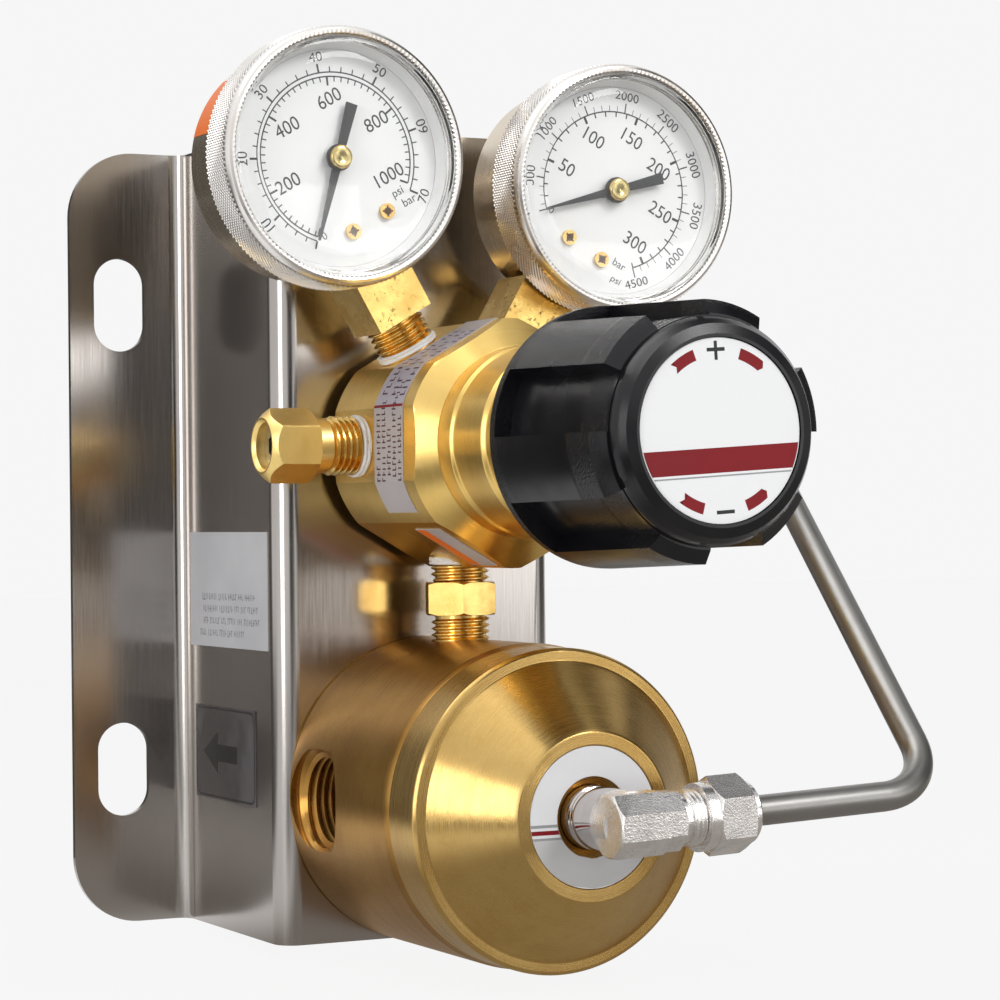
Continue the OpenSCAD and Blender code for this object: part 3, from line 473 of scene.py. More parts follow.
def brushed(name, colour, dark, scale, rough, spread, depth=0.004, clouds=22.0):
    """Metal with fine lines: scale is the pattern's scale per metre along X, Y and Z."""
    look = Look(name, colour, 1.0, rough)
    lines = look.noise(look.place(scale), 1.0, 4.0)
    broad = look.noise(look.place((clouds,) * 3), 1.0, 3.0)
    look.paint(look.ramp(broad, dark, colour, 0.32, 0.62))
    look.roughen(look.ramp(lines, rough - spread, rough + spread))
    look.bump(lines, depth)
    return look


def turned_metal(name, colour, dark, local, rough, spread, depth=0.01, lines=9000.0, spots=0.35):
    """Metal turned about the local frame's z axis: fine rings, with tarnish in clouds."""
    look = Look(name, colour, 1.0, rough)
    rings = look.noise(look.round(local, lines, lines, 0.6), 1.0, 2.0)
    wide = look.noise(look.round(local, 900.0, 900.0, 1.2), 1.0, 2.0)
    clouds = look.noise(look.place((42, 42, 42)), 1.0, 5.0, 0.6)
    specks = look.noise(look.place((420, 420, 420)), 1.0, 4.0, 0.65)
    look.stain(look.paint(look.ramp(clouds, dark, colour, 0.34, 0.60)), dark,
               look.ramp(specks, 0.0, spots, 0.55, 0.72))
    look.roughen(look.ramp(rings, rough - spread, rough + spread))
    look.bump(rings, depth)
    look.bump(wide, depth * 1.5, 0.4)
    look.grain(local)
    return look


def machined(name, colour, dark, rough, depth=0.01, lumps=0.0, pits=0.0):
    """Small machined or cast parts: faint marks, stains, and an optional skin of lumps or pits."""
    look = Look(name, colour, 1.0, rough)
    fine = look.noise(look.place((2500, 2500, 2500)), 1.0, 3.0)
    clouds = look.noise(look.place((120, 120, 120)), 1.0, 4.0)
    base = look.paint(look.ramp(clouds, dark, colour, 0.30, 0.58))
    look.roughen(look.ramp(clouds, rough + 0.10, rough - 0.05, 0.3, 0.7))
    look.bump(fine, depth)
    if lumps:
        look.bump(look.noise(look.place((900, 900, 900)), 1.0, 2.0), lumps, 0.8)
    if pits:
        spots = look.noise(look.place((700, 700, 700)), 1.0, 4.0, 0.7)
        holes = look.ramp(spots, 0.0, 1.0, 0.60, 0.72)
        look.stain(base, tuple(c * 0.35 for c in dark), holes)
        look.bump(look.ramp(holes, 1.0, 0.0, 0.0, 1.0), pits)
    return look


def plastic(name, colour, rough, depth=0.0, grain=4000.0, spread=1.12, **sockets):
    """Plastic, paint, paper or ink: low clouds of colour and gloss, and an optional grain."""
    look = Look(name, colour, 0.0, rough, **sockets)
    fine = look.noise(look.place((grain, grain, grain)), 1.0, 2.0)
    clouds = look.noise(look.place((60, 60, 60)), 1.0, 3.0)
    light = tuple(min(1.0, c * spread + 0.002) for c in colour)
    look.paint(look.ramp(clouds, colour, light))
    look.roughen(look.ramp(clouds, rough - 0.05, rough + 0.06))
    if depth:
        look.bump(fine, depth)
    return look


def knob_moulding(name):
    """Black moulding, with a coarse grain that sparkles on the lobes' front ends and rear edge."""
    ends_from, ends_to, rear_to = 0.116, 0.125, 0.0885  # heights over the plate, in metres
    look = plastic(name, (0.004, 0.004, 0.0055), 0.24, 0.004, 3200.0, 1.3, Specular_IOR_Level=0.42)
    z = look.axes(look.place(local=PILOT))["Z"]
    ends = look.product(look.step(z, ends_from, 0.001), look.step(z, ends_to, 0.001, 1.0, 0.0))
    rear = look.step(z, rear_to, 0.002, 1.0, 0.0)
    grain = look.noise(look.place((1700, 1700, 1700)), 1.0, 2.0)
    look.bump(look.product(look.either(ends, rear), grain), 0.16)
    return look


def wall_stickers(name):
    """Two stickers in one look: a white one above and a tinted, nearly clear one below."""
    between = -0.034  # the height between the two, in metres
    look = Look(name, (0.8, 0.8, 0.8), 0.0, 0.4)
    upper = look.step(look.axes(look.place())["Z"], between, 0.004)
    clouds = look.noise(look.place((38, 38, 38)), 1.0, 3.0)
    paper = look.ramp(clouds, (0.52, 0.52, 0.54), (0.60, 0.60, 0.61), 0.35, 0.65)
    tint = look.ramp(clouds, (0.060, 0.052, 0.050), (0.115, 0.105, 0.110), 0.42, 0.58)
    mix = look.node("ShaderNodeMix", data_type="RGBA")
    look.link(upper, mix.inputs["Factor"])
    look.link(tint, mix.inputs[6])
    look.link(paper, mix.inputs[7])
    look.paint(mix.outputs[2])
    look.roughen(look.ramp(upper, 0.22, 0.42, 0.0, 1.0))
    look.bump(look.noise(look.place((160, 160, 160)), 1.0, 2.0), 0.05, 0.5)
    return look


def clear_window(name):
    """Clear moulded plastic: it lets the lamps through, so that the dial isn't darkened."""
    look = Look(name, (0.98, 0.985, 0.985), 0.0, 0.03, IOR=1.42, Transmission_Weight=1.0)
    look.bump(look.noise(look.place((300, 300, 300)), 1.0, 2.0), 0.004)
    through = look.node("ShaderNodeBsdfTransparent").outputs[0]
    shadow = look.node("ShaderNodeLightPath").outputs["Is Shadow Ray"]
    look.surface(shadow, look.shader.outputs[0], through)
    return look


def forged_steel(name):
    """Bright fittings: smooth at the dome port's neck, which is painted darker and brown as shade, with a forged
    skin further out.
    """
    hub, neck_end = 0.071, 0.0887  # heights over the plate, in metres
    nut_start = 0.0144  # the distance of the elbow's nut from the port's axis, in metres
    look = Look(name, (0.6, 0.6, 0.6), 1.0, 0.15)
    height = look.axes(look.place(local=MAIN))["Z"]
    along = look.axes(look.place(local=ELBOW))["Z"]
    skin = look.step(height, neck_end, 0.0006)
    # painted shade: the neck between the dome port and the elbow is mixed half towards dark brown
    neck_shade = look.product(look.ramp(skin, 0.5, 0.0, 0.0, 1.0), look.step(height, hub, 0.002))
    rugged = look.product(skin, look.step(along, nut_start, 0.0004, 1.0, 0.6))
    grain = look.noise(look.place((2700, 2700, 2700)), 1.0, 1.0, 0.6)
    blots = look.noise(look.place((210, 210, 210)), 1.0, 3.0, 0.6)
    base = look.paint(look.ramp(blots, (0.82, 0.80, 0.79), (0.95, 0.93, 0.91), 0.36, 0.60))
    base = look.stain(base, (0.40, 0.33, 0.31), neck_shade)
    dark = look.product(rugged, look.ramp(grain, 0.0, 0.30, 0.58, 0.72))
    look.stain(base, (0.24, 0.22, 0.21), dark)
    look.roughen(look.ramp(skin, 0.10, 0.26, 0.0, 1.0))
    look.bump(look.product(rugged, grain), 0.048)
    return look


CAP = ((0.66, 0.44, 0.155), (0.54, 0.33, 0.10))
BODY = ((0.51, 0.285, 0.075), (0.40, 0.205, 0.048))
PILOT_TONES = ((0.90, 0.63, 0.21), (0.80, 0.53, 0.15))
FITTING = ((0.86, 0.60, 0.20), (0.70, 0.44, 0.12))
looks = {
    "bracket_steel": brushed("bracket_steel", (0.48, 0.45, 0.425), (0.40, 0.37, 0.345),
                             (2600, 2600, 60), 0.17, 0.03, 0.0004, 9.0),
    "wall_label": wall_stickers("wall_label"),
    "screw_steel": machined("screw_steel", (0.42, 0.42, 0.43), (0.30, 0.30, 0.31), 0.34),
    "body_brass": turned_metal("body_brass", *BODY, MAIN, 0.30, 0.05, 0.006),
    "cap_brass": turned_metal("cap_brass", *CAP, MAIN, 0.27, 0.06, 0.008),
    "diaphragm_rubber": plastic("diaphragm_rubber", (0.03, 0.03, 0.032), 0.6, 0.01),
    "plate_aluminium": brushed("plate_aluminium", (0.70, 0.70, 0.71), (0.6, 0.6, 0.61),
                               (900, 900, 900), 0.35, 0.05),
    "valve_brass": machined("valve_brass", (0.84, 0.58, 0.22), (0.62, 0.38, 0.10), 0.22),
    "spring_steel": machined("spring_steel", (0.50, 0.50, 0.51), (0.38, 0.38, 0.39), 0.28),
    "dome_label": plastic("dome_label", (0.90, 0.90, 0.91), 0.36, spread=1.04),
    "fitting_steel": forged_steel("fitting_steel"),
    "tube_steel": brushed("tube_steel", (0.36, 0.35, 0.335), (0.30, 0.29, 0.275),
                          (260, 260, 60), 0.37, 0.03, 0.002),
    "fitting_brass": machined("fitting_brass", *FITTING, 0.20, 0.006),
    "pilot_brass": turned_metal("pilot_brass", *PILOT_TONES, PILOT, 0.30, 0.03, 0.002,
                                6000.0, 0.25),
    "diaphragm_steel": brushed("diaphragm_steel", (0.7, 0.7, 0.71), (0.6, 0.6, 0.6),
                               (900, 900, 900), 0.3, 0.05),
    "pilot_label": plastic("pilot_label", (0.47, 0.43, 0.43), 0.40),
    "knob_plastic": knob_moulding("knob_plastic"),
    "knob_label": plastic("knob_label", (0.97, 0.97, 0.97), 0.40, spread=1.02),
    "gauge_case": brushed("gauge_case", (0.80, 0.71, 0.58), (0.62, 0.53, 0.41),
                          (60, 900, 60), 0.24, 0.04, 0.003),
    "gauge_dial": plastic("gauge_dial", (0.80, 0.80, 0.795), 0.50, spread=1.02),
    "gauge_pointer": plastic("gauge_pointer", (0.018, 0.018, 0.020), 0.45, 0.008),
    "gauge_bezel": machined("gauge_bezel", (0.90, 0.87, 0.84), (0.80, 0.76, 0.72), 0.24, 0.004),
    "gauge_window": clear_window("gauge_window"),
}
PRINT = plastic("print_black", (0.018, 0.018, 0.020), 0.5)
RED = plastic("print_red", (0.235, 0.005, 0.010), 0.45, Specular_IOR_Level=0.3)
GREY = plastic("print_grey", (0.34, 0.34, 0.345), 0.42)
ASH = plastic("print_ash", (0.60, 0.595, 0.59), 0.42)
FAINT = plastic("print_faint", (0.26, 0.26, 0.28), 0.45)
WHITE = plastic("print_white", (0.86, 0.86, 0.86), 0.42, spread=1.02)
ORANGE = plastic("print_orange", (0.85, 0.17, 0.012), 0.42)
VIOLET = plastic("print_violet", (0.085, 0.035, 0.045), 0.5)
LAVENDER = plastic("film_lavender", (0.47, 0.44, 0.50), 0.40)
SMOKE = plastic("print_smoke", (0.016, 0.014, 0.014), 0.30)
# painted shade: a dark brown print for the shaded recesses of the dial screws
RECESS_SHADE = plastic("painted_recess_shade", (0.10, 0.035, 0.008), 0.35)
TAPE = plastic("thread_tape", (0.88, 0.87, 0.86), 0.42, 0.06, 1500.0, 1.02)


# The carried-over nodes


def soften(name, width, angle=35.0):
    """Rounds a node's hard edges so that they catch the light."""
    obj = nodes[name]
    weld = obj.modifiers.new("weld", "WELD")
    weld.merge_threshold = WELD
    edge = obj.modifiers.new("edge", "BEVEL")
    edge.width = width * MM
    edge.segments = 2
    edge.limit_method = "ANGLE"
    edge.angle_limit = math.radians(angle)
    edge.use_clamp_overlap = True
    edge.harden_normals = True
    shade = obj.modifiers.new("shade", "WEIGHTED_NORMAL")
    shade.keep_sharp = True


slots = {s["node"]: s["material_slot"] for s in frame["record"]["subparts"]}
own_looks = {
    "outlet_gauge_socket": machined("cast_brass", *FITTING, 0.24, 0.010, 0.03, 0.05),
    "relief_body": machined("relief_brass", (0.96, 0.72, 0.28), (0.84, 0.58, 0.19), 0.36, 0.006),
}
own_looks["inlet_gauge_socket"] = own_looks["outlet_gauge_socket"]
for name, obj in nodes.items():
    look = own_looks.get(name, looks[slots[name]])
    obj.data.materials.clear()
    obj.data.materials.append(look.material)

# The width of each rounded edge, in millimetres
EDGES = {
    "main_body": 0.35, "dome_cap": 0.22, "pilot_body": 0.30, "pilot_bonnet": 0.25,
    "relief_body": 0.22, "hex_nipple": 0.22, "dome_tube_nut": 0.22, "dome_elbow": 0.6,
    "pilot_connector": 0.2, "pilot_tube_nut": 0.2, "knob": 0.45,
    "outlet_gauge_socket": 0.35, "inlet_gauge_socket": 0.35,
    "outlet_gauge_case": 0.5, "inlet_gauge_case": 0.5,
}
for name, width in EDGES.items():
    soften(name, width)


def springy(name, axis, moving_high):
    """A copy of a spring, shown in place of its node; it doesn't close up as the body at its moving end slides
    along an axis.
    """
    made = bpy.data.objects.new(f"{name}_coil", nodes[name].data.copy())
    bpy.context.scene.collection.objects.link(made)
    low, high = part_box(name)
    fixed, moving = (low + high) / 2, (low + high) / 2
    fixed[axis], moving[axis] = (low[axis], high[axis]) if moving_high else (high[axis], low[axis])
    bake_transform(made)
    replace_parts(made, name)


springy("main_poppet_spring", 1, False)
springy("pilot_poppet_spring", 1, False)
springy("range_spring", 1, False)
springy("relief_spring", 0, True)


def print_on(name, shape, place, look, body=ROOT):
    """Ink: a flat shape on a face, which takes its own colour."""
    piece(name, shape, place, body, look.material, flat=True)


# Gauges


def zigzag(x):
    """A triangle wave from 0 to 1 with period 1."""
    return abs(2 * (x - math.floor(x + 0.5)))


def bezel(name, place):
    """A bezel with a diamond-knurled rim and a finely ribbed lip, in place of the plain one."""
    teeth, depth, pitch = 156, 0.50, 1.12
    rib = 0.30
    low, high = BEZEL_BACK + 0.5, BEZEL_FRONT - 2.3
    rows = int((high - low) / pitch * 4)
    knurled = [(BEZEL_R, low + (high - low) * i / rows) for i in range(rows + 1)]
    ribbed = (LIP_R + 0.65, BEZEL_FRONT - 0.10)
    bore, seat, seat_top = CASE_R + 0.06, LIP_R + 1.45, WINDOW_Z + 1.9
    profile = [(bore, BEZEL_BACK), (BEZEL_R - 0.5, BEZEL_BACK)]
    profile += knurled
    profile += [(BEZEL_R - 0.40, BEZEL_FRONT - 1.7), (BEZEL_R - 0.55, BEZEL_FRONT - 0.9),
                (BEZEL_R - 0.95, BEZEL_FRONT - 0.25), (BEZEL_R - 1.5, BEZEL_FRONT), ribbed,
                (LIP_R + 0.15, BEZEL_FRONT - 0.45), (LIP_R, BEZEL_FRONT - 0.8), (LIP_R, seat_top),
                (seat, seat_top), (seat, WINDOW_Z - 0.02), (bore, WINDOW_Z - 0.02)]

    def shape(r, a, z):
        across, along = teeth * a / (2 * math.pi), (z - low) / pitch
        if (r, z) == ribbed:
            return r - rib * (1 - zigzag(across))
        if r < BEZEL_R - 0.01:
            return r
        height = min(zigzag(across + along), zigzag(across - along))
        return r - depth * (1 - height)

    return piece(f"{name}_bezel_knurled", turned(profile, teeth * 4, shape), place, ROOT,
                 looks["gauge_bezel"].material, 22)


def window(name, place):
    """A thin clear window with a rounded rim, in place of the solid one."""
    z, rim, flange, thick = WINDOW_Z, LIP_R - 0.15, 27.0, 1.5
    edge = [(rim, z + 2.4), (rim - 0.12, z + 2.75), (rim - 0.45, z + 3.05), (rim - 0.95, z + 3.2)]
    crown = [(20, z + 3.35), (14, z + 3.47), (7, z + 3.56), (0, z + 3.6)]
    profile = [(CASE_R - 0.5, z), (flange, z), (flange, z + 1.75), (rim, z + 1.75)] + edge + crown
    profile += [(r, h - thick) for r, h in reversed(crown)]
    profile += [(rim - 1.3, z + 1.7), (rim - 0.85, z + 1.2)]
    return piece(f"{name}_window_clear", turned(profile, 160), place, ROOT,
                 looks["gauge_window"].material, 50)


def wall_ring(name, place):
    """The white wall between the dial's edge and the window."""
    low, high, outer = DIAL_TOP + 0.05, WINDOW_Z - 0.1, CASE_R - 0.02
    profile = [(DIAL_R + 0.05, low), (CASE_R - 0.15, high), (outer, high), (outer, low)]
    piece(f"{name}_wall_ring", turned(profile, 128), place, ROOT,
          looks["gauge_dial"].material)


def dial_angle(value, top):
    """The scale's own law, up to the stop at its first mark."""
    return min(FIRST_ANGLE, ZERO_ANGLE - SWEEP * value / top)


def ticks(values, top, r0, r1, width):
    """Short printed lines from radius r0 to r1 at each value, the first at the stop."""
    made = []
    for value in values:
        if value and dial_angle(value, top) == FIRST_ANGLE:
            continue
        line = bar(r0, r1, -width / 2, width / 2)
        made.append(moved(line, turn(dial_angle(value, top), "Z")))
    return made


def figures(values, top, radius, size, upright):
    """Numbers on a scale, upright on the dial or turned to follow the scale."""
    made = []
    for value in values:
        a = dial_angle(value, top)
        x, y, _ = polar(radius, math.radians(a))
        follow = a - 90 if a > 0 else a + 90
        made.append(letters(str(value), size, x, y, 0 if upright else follow, 0.95))
    return made


def dial(name, place, marks):
    """The printed scales, just over the dial."""
    lifted = moved(joined(marks), shift(0, 0, DIAL_TOP + 0.03))
    piece(f"{name}_dial_print", lifted, place, ROOT, PRINT.material, flat=True)


def outlet_marks():
    """Two arcs with a scale to 1000 inside and to 70 outside."""
    full = 1000 / PSI_PER_BAR
    made = [arc(17.5, 17.8, -45, FIRST_ANGLE, 120), arc(18.45, 18.75, -49.2, FIRST_ANGLE, 120)]
    made += ticks(range(0, 1001, 200), 1000, 15.7, 17.6, 0.45)
    made += ticks(range(0, 1001, 20), 1000, 16.55, 17.6, 0.27)
    made += ticks(range(0, 71, 10), full, 18.6, 20.6, 0.45)
    made += ticks(range(0, 71, 2), full, 18.6, 19.8, 0.27)
    made += figures(range(200, 1001, 200), 1000, 12.8, 4.3, True)
    made += figures(range(10, 71, 10), full, 22.3, 3.5, False)
    made.append(letters("0", 2.4, -11.0, -13.2))
    made.append(letters("psi", 2.7, 9.3, -13.0))
    made.append(letters("bar", 2.7, 10.8, -15.9))
    return made


def inlet_marks():
    """One arc with a scale to 300 inside and to 4500 outside."""
    full = 4500 / PSI_PER_BAR
    made = [arc(17.75, 18.05, -45, FIRST_ANGLE, 120)]
    made += ticks(range(0, 301, 50), full, 16.2, 17.9, 0.6)
    made += ticks(range(0, 311, 10), full, 16.75, 17.9, 0.32)
    made += ticks(range(0, 4501, 500), 4500, 17.9, 20.2, 0.30)
    made += ticks(range(0, 4501, 100), 4500, 18.0, 19.3, 0.14)
    made += figures(range(50, 301, 50), full, 12.8, 4.4, True)
    made += figures(range(500, 4501, 500), 4500, 21.8, 3.3, False)
    made.append(letters("0", 2.4, -11.3, -12.3))
    made.append(letters("bar", 2.6, 9.3, -13.9))
    made.append(letters("psi", 2.6, 10.4, -17.6))
    return made


def tape(name, place, z0, z1, radius, seed=0, rough=0.35):
    """A few wraps of thread tape, uneven and frayed at its edges."""
    def shape(r, a, z):
        if r < radius - 0.3:
            return r
        wobble = noise.noise(Vector(polar(2.6, a, z * 2.0 + seed * 7.1)))
        fray = noise.noise(Vector(polar(7.0, a, z * 4.0 + seed * 3.3)))
        return r + rough * (wobble + 0.6 * fray)

    rows, inner = 10, radius - 0.9
    profile = [(inner, z0), (radius, z0 + 0.1)]
    profile += [(radius + 0.12 * math.sin(9 * i / rows), z0 + 0.2 + (z1 - z0 - 0.4) * i / rows)
                for i in range(rows + 1)]
    profile += [(radius, z1 - 0.1), (inner, z1)]
    piece(name, turned(profile, 96, shape), place, ROOT, TAPE.material, 60)


def tape_end(name, place, x, y, z, wide, high, seed):
    """A loose, crumpled end of thread tape."""
    rng = random.Random(seed)
    side = 9
    verts = []
    for i in range(side):
        for j in range(side):
            u, v = i / (side - 1) - 0.5, j / (side - 1) - 0.5
            lift = 0.9 * noise.noise(Vector((u * 3.1, v * 3.1, seed))) + rng.uniform(-0.12, 0.12)
            verts.append((x + u * wide + 0.3 * lift, y + v * high, z + lift))
    faces = [(i * side + j, i * side + j + 1, (i + 1) * side + j + 1, (i + 1) * side + j)
             for i in range(side - 1) for j in range(side - 1)]
    made = piece(name, (verts, faces), place, ROOT, TAPE.material, 80, flat=True)
    thick = made.modifiers.new("thick", "SOLIDIFY")
    thick.thickness = 0.15 * MM
    smooth = made.modifiers.new("smooth", "SUBSURF")
    smooth.levels = smooth.render_levels = 2


def ridge(name, place, z0, z1, pitch, slot, root=THREAD_ROOT, crest=THREAD_CREST, steps=48):
    """A thread as its own piece, with the look of its slot."""
    shape = thread(root, crest, z0, z1, pitch, steps)
    piece(name, shape, place, ROOT, looks[slot].material)


for name, place, marks, stem_end in (("outlet_gauge", OUTLET_GAUGE, outlet_marks(), 46.6),
                                     ("inlet_gauge", INLET_GAUGE, inlet_marks(), 41.8)):
    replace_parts(bezel(name, place), f"{name}_bezel")
    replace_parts(window(name, place), f"{name}_window")
    wall_ring(name, place)
    dial(name, place, marks)
    stem = place @ turn(90, "X")
    ridge(f"{name}_stem_thread", stem, 38.9, stem_end, THREAD_PITCH, "fitting_brass")
    tape(f"{name}_tape", stem, stem_end - 1.7, stem_end - 0.05, 6.9, seed=len(name))


def case_band(name, place, a0, a1, z0, z1, look):
    """A film wrapped on the gauge case."""
    r = CASE_R + 0.06
    steps = 24
    verts = []
    for i in range(steps + 1):
        a = math.radians(a0 + (a1 - a0) * i / steps)
        verts += [polar(r, a, z1), polar(r, a, z0)]
    piece(name, (verts, strip(steps)), place, ROOT, look.material, flat=True)


FILM_Z = (-6.6, BEZEL_BACK - 0.05)
case_band("case_film_orange", OUTLET_GAUGE, 104, 137, *FILM_Z, ORANGE)
case_band("case_film_white", OUTLET_GAUGE, 84, 104, *FILM_Z, WHITE)


def screw_print(name, place):
    """Painted shade for the recess in each dial screw's head: a dark brown disc and cross laid flat on it."""
    radius, arm, half = 0.95, 1.25, 0.2
    rim = [polar(radius, math.radians(a)) for a in range(0, 360, 60)]
    cross = bar(-arm, arm, -half, half)
    slot = [cross, moved(cross, turn(90, "Z")), (rim, [tuple(range(6))])]
    for i, side in enumerate((-1, 1)):
        spot = place @ shift(SCREW_X * side, SCREW_Y, SCREW_TOP) @ turn(25 + 40 * side, "Z")
        # a flat dark print on the head is painted shade for its recess
        print_on(f"{name}_screw_recess_shade_{i}", joined(slot), spot, RECESS_SHADE)


def hub_face(name, place):
    """The turned face of a pointer's hub, with a dimple at its centre."""
    z, rim = HUB_FACE_Z, 2.45
    profile = [(0, z - 0.3), (0, z), (0.35, z + 0.02), (0.5, z + 0.22), (1.9, z + 0.3),
               (2.3, z + 0.22), (rim, z), (rim, z - 0.3)]
    brass = turned_metal(f"{name}_hub_brass", (0.72, 0.58, 0.26), (0.50, 0.38, 0.14),
                         place, 0.22, 0.06, 0.01)
    piece(f"{name}_hub_face", turned(profile, 64), place, name.replace("gauge", "pointer"),
          brass.material, 60)


for name, place in (("outlet_gauge", OUTLET_GAUGE), ("inlet_gauge", INLET_GAUGE)):
    screw_print(name, place)
    hub_face(name, place)


# Fittings

for name, angle in (("outlet_port_thread", 180), ("inlet_port_thread", 0)):
    ridge(name, radial(MAIN, angle, PORT_Z), 17.2, 32.0, PORT_PITCH, "body_brass",
          PORT_R - 0.02, PORT_CREST, steps=64)
ridge("relief_thread", RELIEF, 24.6, 33.0, THREAD_PITCH, "fitting_brass")
tape("relief_tape", RELIEF, 24.45, 26.2, 6.75, seed=3, rough=0.25)
ridge("nipple_thread_low", NIPPLE, 34.2, 40.2, THREAD_PITCH, "fitting_brass")
ridge("nipple_thread_high", NIPPLE, 47.8, 53.2, THREAD_PITCH, "fitting_brass")
tape("nipple_tape", NIPPLE, 51.6, 53.4, 6.8, seed=5, rough=0.45)
tape_end("nipple_tape_end", NIPPLE, 5.2, -3.4, 51.8, 4.5, 4.0, 11)
tape_end("inlet_tape_end", INLET_GAUGE @ turn(90, "X"), -6.4, 1.8, 41.2, 3.4, 3.4, 4)
ridge("elbow_port_thread", MAIN, HUB_TOP + 0.1, HUB_TOP + 3.0, 1.2, "fitting_steel")
ridge("elbow_tube_thread", ELBOW, 11.4, 14.2, 1.0, "fitting_steel", 5.45, 5.95)


# Labels

KNOB_FACE = PILOT @ shift(0, 0, KNOB_END - KNOB_RECESS + KNOB_LABEL_T + INK)
DOME_FACE = MAIN @ shift(0, 0, HUB_TOP - DOME_LABEL_SUNK + INK)


def chord(radius, y0, y1, steps=24):
    """The part of a disc between two heights."""
    right = []
    for i in range(steps + 1):
        y = y0 + (y1 - y0) * i / steps
        right.append((math.sqrt(max(0.0, radius * radius - y * y)), y))
    outline = right + [(-x, y) for x, y in reversed(right)]
    return [(x, y, 0) for x, y in outline], [tuple(range(len(outline)))]


def curved_band(r, a0, a1, width, notch):
    """A band that bends with the rim and ends at a1 in a point, or in a notch if that is set."""
    head = math.copysign(2.6, a1 - a0)
    inner, outer, end = r - width / 2, r + width / 2, math.radians(a1)
    verts, faces = arc(inner, outer, a0, a1 - head, 12)
    last = len(verts) - 2
    near, far, point = polar(inner, end), polar(outer, end), polar(r, end)
    if not notch:
        return verts + [point], faces + [(last, last + 1, last + 2)]
    dent = tuple((a + b) / 2 for a, b in zip(verts[last], verts[last + 1]))
    sides = [(last, last + 2, last + 4), (last + 1, last + 4, last + 3)]
    return verts + [near, far, dent], faces + sides


def knob_prints():
    """A stripe with a line under it, four bent bands, a plus and a minus."""
    slot, rim, row, wide = "knob_label", 17.6, 15.4, 2.2
    face = KNOB_FACE @ turn(3.5, "Z")
    print_on("knob_print_band", chord(rim, -8.0, -3.2), face, RED, "knob")
    print_on("knob_print_line", chord(rim, -8.75, -8.45), face, GREY, "knob")
    ends = ((108, 128, True), (70, 48, False), (-108, -128, True), (-72, -52, False))
    bands = [curved_band(row, a0, a1, wide, notch) for a0, a1, notch in ends]
    print_on("knob_print_arrows", joined(bands), face, RED, "knob")
    plus = [bar(-2.0, 2.0, 15.2, 15.9), bar(-0.35, 0.35, 13.55, 15.2), bar(-0.35, 0.35, 15.9, 17.2)]
    minus = bar(-2.0, 2.0, -15.9, -15.2)
    print_on("knob_print_signs", joined(plus + [minus]), face, PRINT, "knob")


def dome_prints():
    """Stripes and a darker lower part on the ring round the dome port, from the top down."""
    inner, outer, high, steps = 8.55, 14.7, -1.0, 12
    stripes = (("dark_high", -1.6, GREY), ("white_high", -2.2, WHITE), ("red", -3.1, RED),
               ("white_low", -3.7, WHITE), ("dark_low", -4.2, GREY), ("lower", -outer, ASH))
    for name, low, look in stripes:
        halves = []
        for side in (-1, 1):
            verts = []
            for i in range(steps + 1):
                y = low + (high - low) * i / steps
                for r in (inner, outer):
                    verts.append((side * math.sqrt(max(0.0, r * r - y * y)), y, 0))
            halves.append((verts, strip(steps)))
        print_on(f"dome_print_{name}", joined(halves), DOME_FACE, look)
        high = low


knob_prints()
dome_prints()


def small_print(rows, length, height, pitch, seed):
    """Rows of short strokes that stand in for small print. Rows run along x and go down y."""
    rng = random.Random(seed)
    made = []
    thin = height * 0.16
    for i in range(rows):
        top = -i * pitch
        x, end = length * rng.uniform(0.0, 0.12), length * rng.uniform(0.8, 1.0)
        while x < end:
            for _ in range(rng.randint(3, 9)):
                full = rng.uniform(0.75, 1.0) * height
                made.append(bar(x, x + thin, top, top - full))
                if rng.random() < 0.6:
                    mid = top - full * rng.choice((0.0, 0.45, 0.84))
                    made.append(bar(x, x + height * 0.42, mid, mid - thin))
                x += height * 0.62
            x += height * 0.5
    return joined(made)


def body_outline(angle, lift):
    """Distance of the pilot body's side from its axis at an angle, in degrees."""
    off = (angle + 30) % 60 - 30
    flat = (PILOT_FLAT + lift) / math.cos(math.radians(off))
    return min(flat, PILOT_R + lift)


def wrapped(shape, start, z0, lift):
    """Wraps a flat shape on the pilot body: x runs round it and y along its axis."""
    verts, faces = shape
    out = []
    for x, y, _ in verts:
        a = start - math.degrees(x / PILOT_R)
        r = body_outline(a, lift)
        out.append(polar(r, math.radians(a), z0 + y))
    return out, faces


def fine_bar(x0, x1, y0, y1, steps=24):
    """A flat rectangle split along x, so that it can be wrapped."""
    verts = []
    for i in range(steps + 1):
        x = x0 + (x1 - x0) * i / steps
        verts += [(x, y1, 0), (x, y0, 0)]
    return verts, strip(steps)


# The pilot's labels end 0.23 over its sides, and films, print and lines lie over one another
film, ink, line = 0.245, 0.26, 0.27
pilot_prints = (
    ("pilot_film_upper", wrapped(fine_bar(0, 32.5, -14.2, -0.2), 161, 40.0, film), LAVENDER),
    ("pilot_print_upper", wrapped(small_print(3, 25, 2.7, 4.5, 4), 158, 39.2, ink), VIOLET),
    ("pilot_print_lower", wrapped(small_print(5, 16, 2.0, 2.65, 8), 199, 39.3, ink), VIOLET),
    ("pilot_print_line", wrapped(fine_bar(0, 0.6, -14.3, 0, 2), 162, 40.0, line), RED),
)
for name, shape, look in pilot_prints:
    print_on(name, shape, PILOT, look)
UNDER = radial(PILOT, 240, 30) @ shift(0, 0, PILOT_FLAT + 0.24)
strokes = moved(small_print(3, 14, 0.9, 1.6, 21), turn(90, "Z") @ shift(-4.6, -0.8, 0.03))
print_on("pilot_print_orange", bar(-4.6, -0.2, -5.2, 10.2), UNDER, ORANGE)
print_on("pilot_print_small", strokes, UNDER, PRINT)

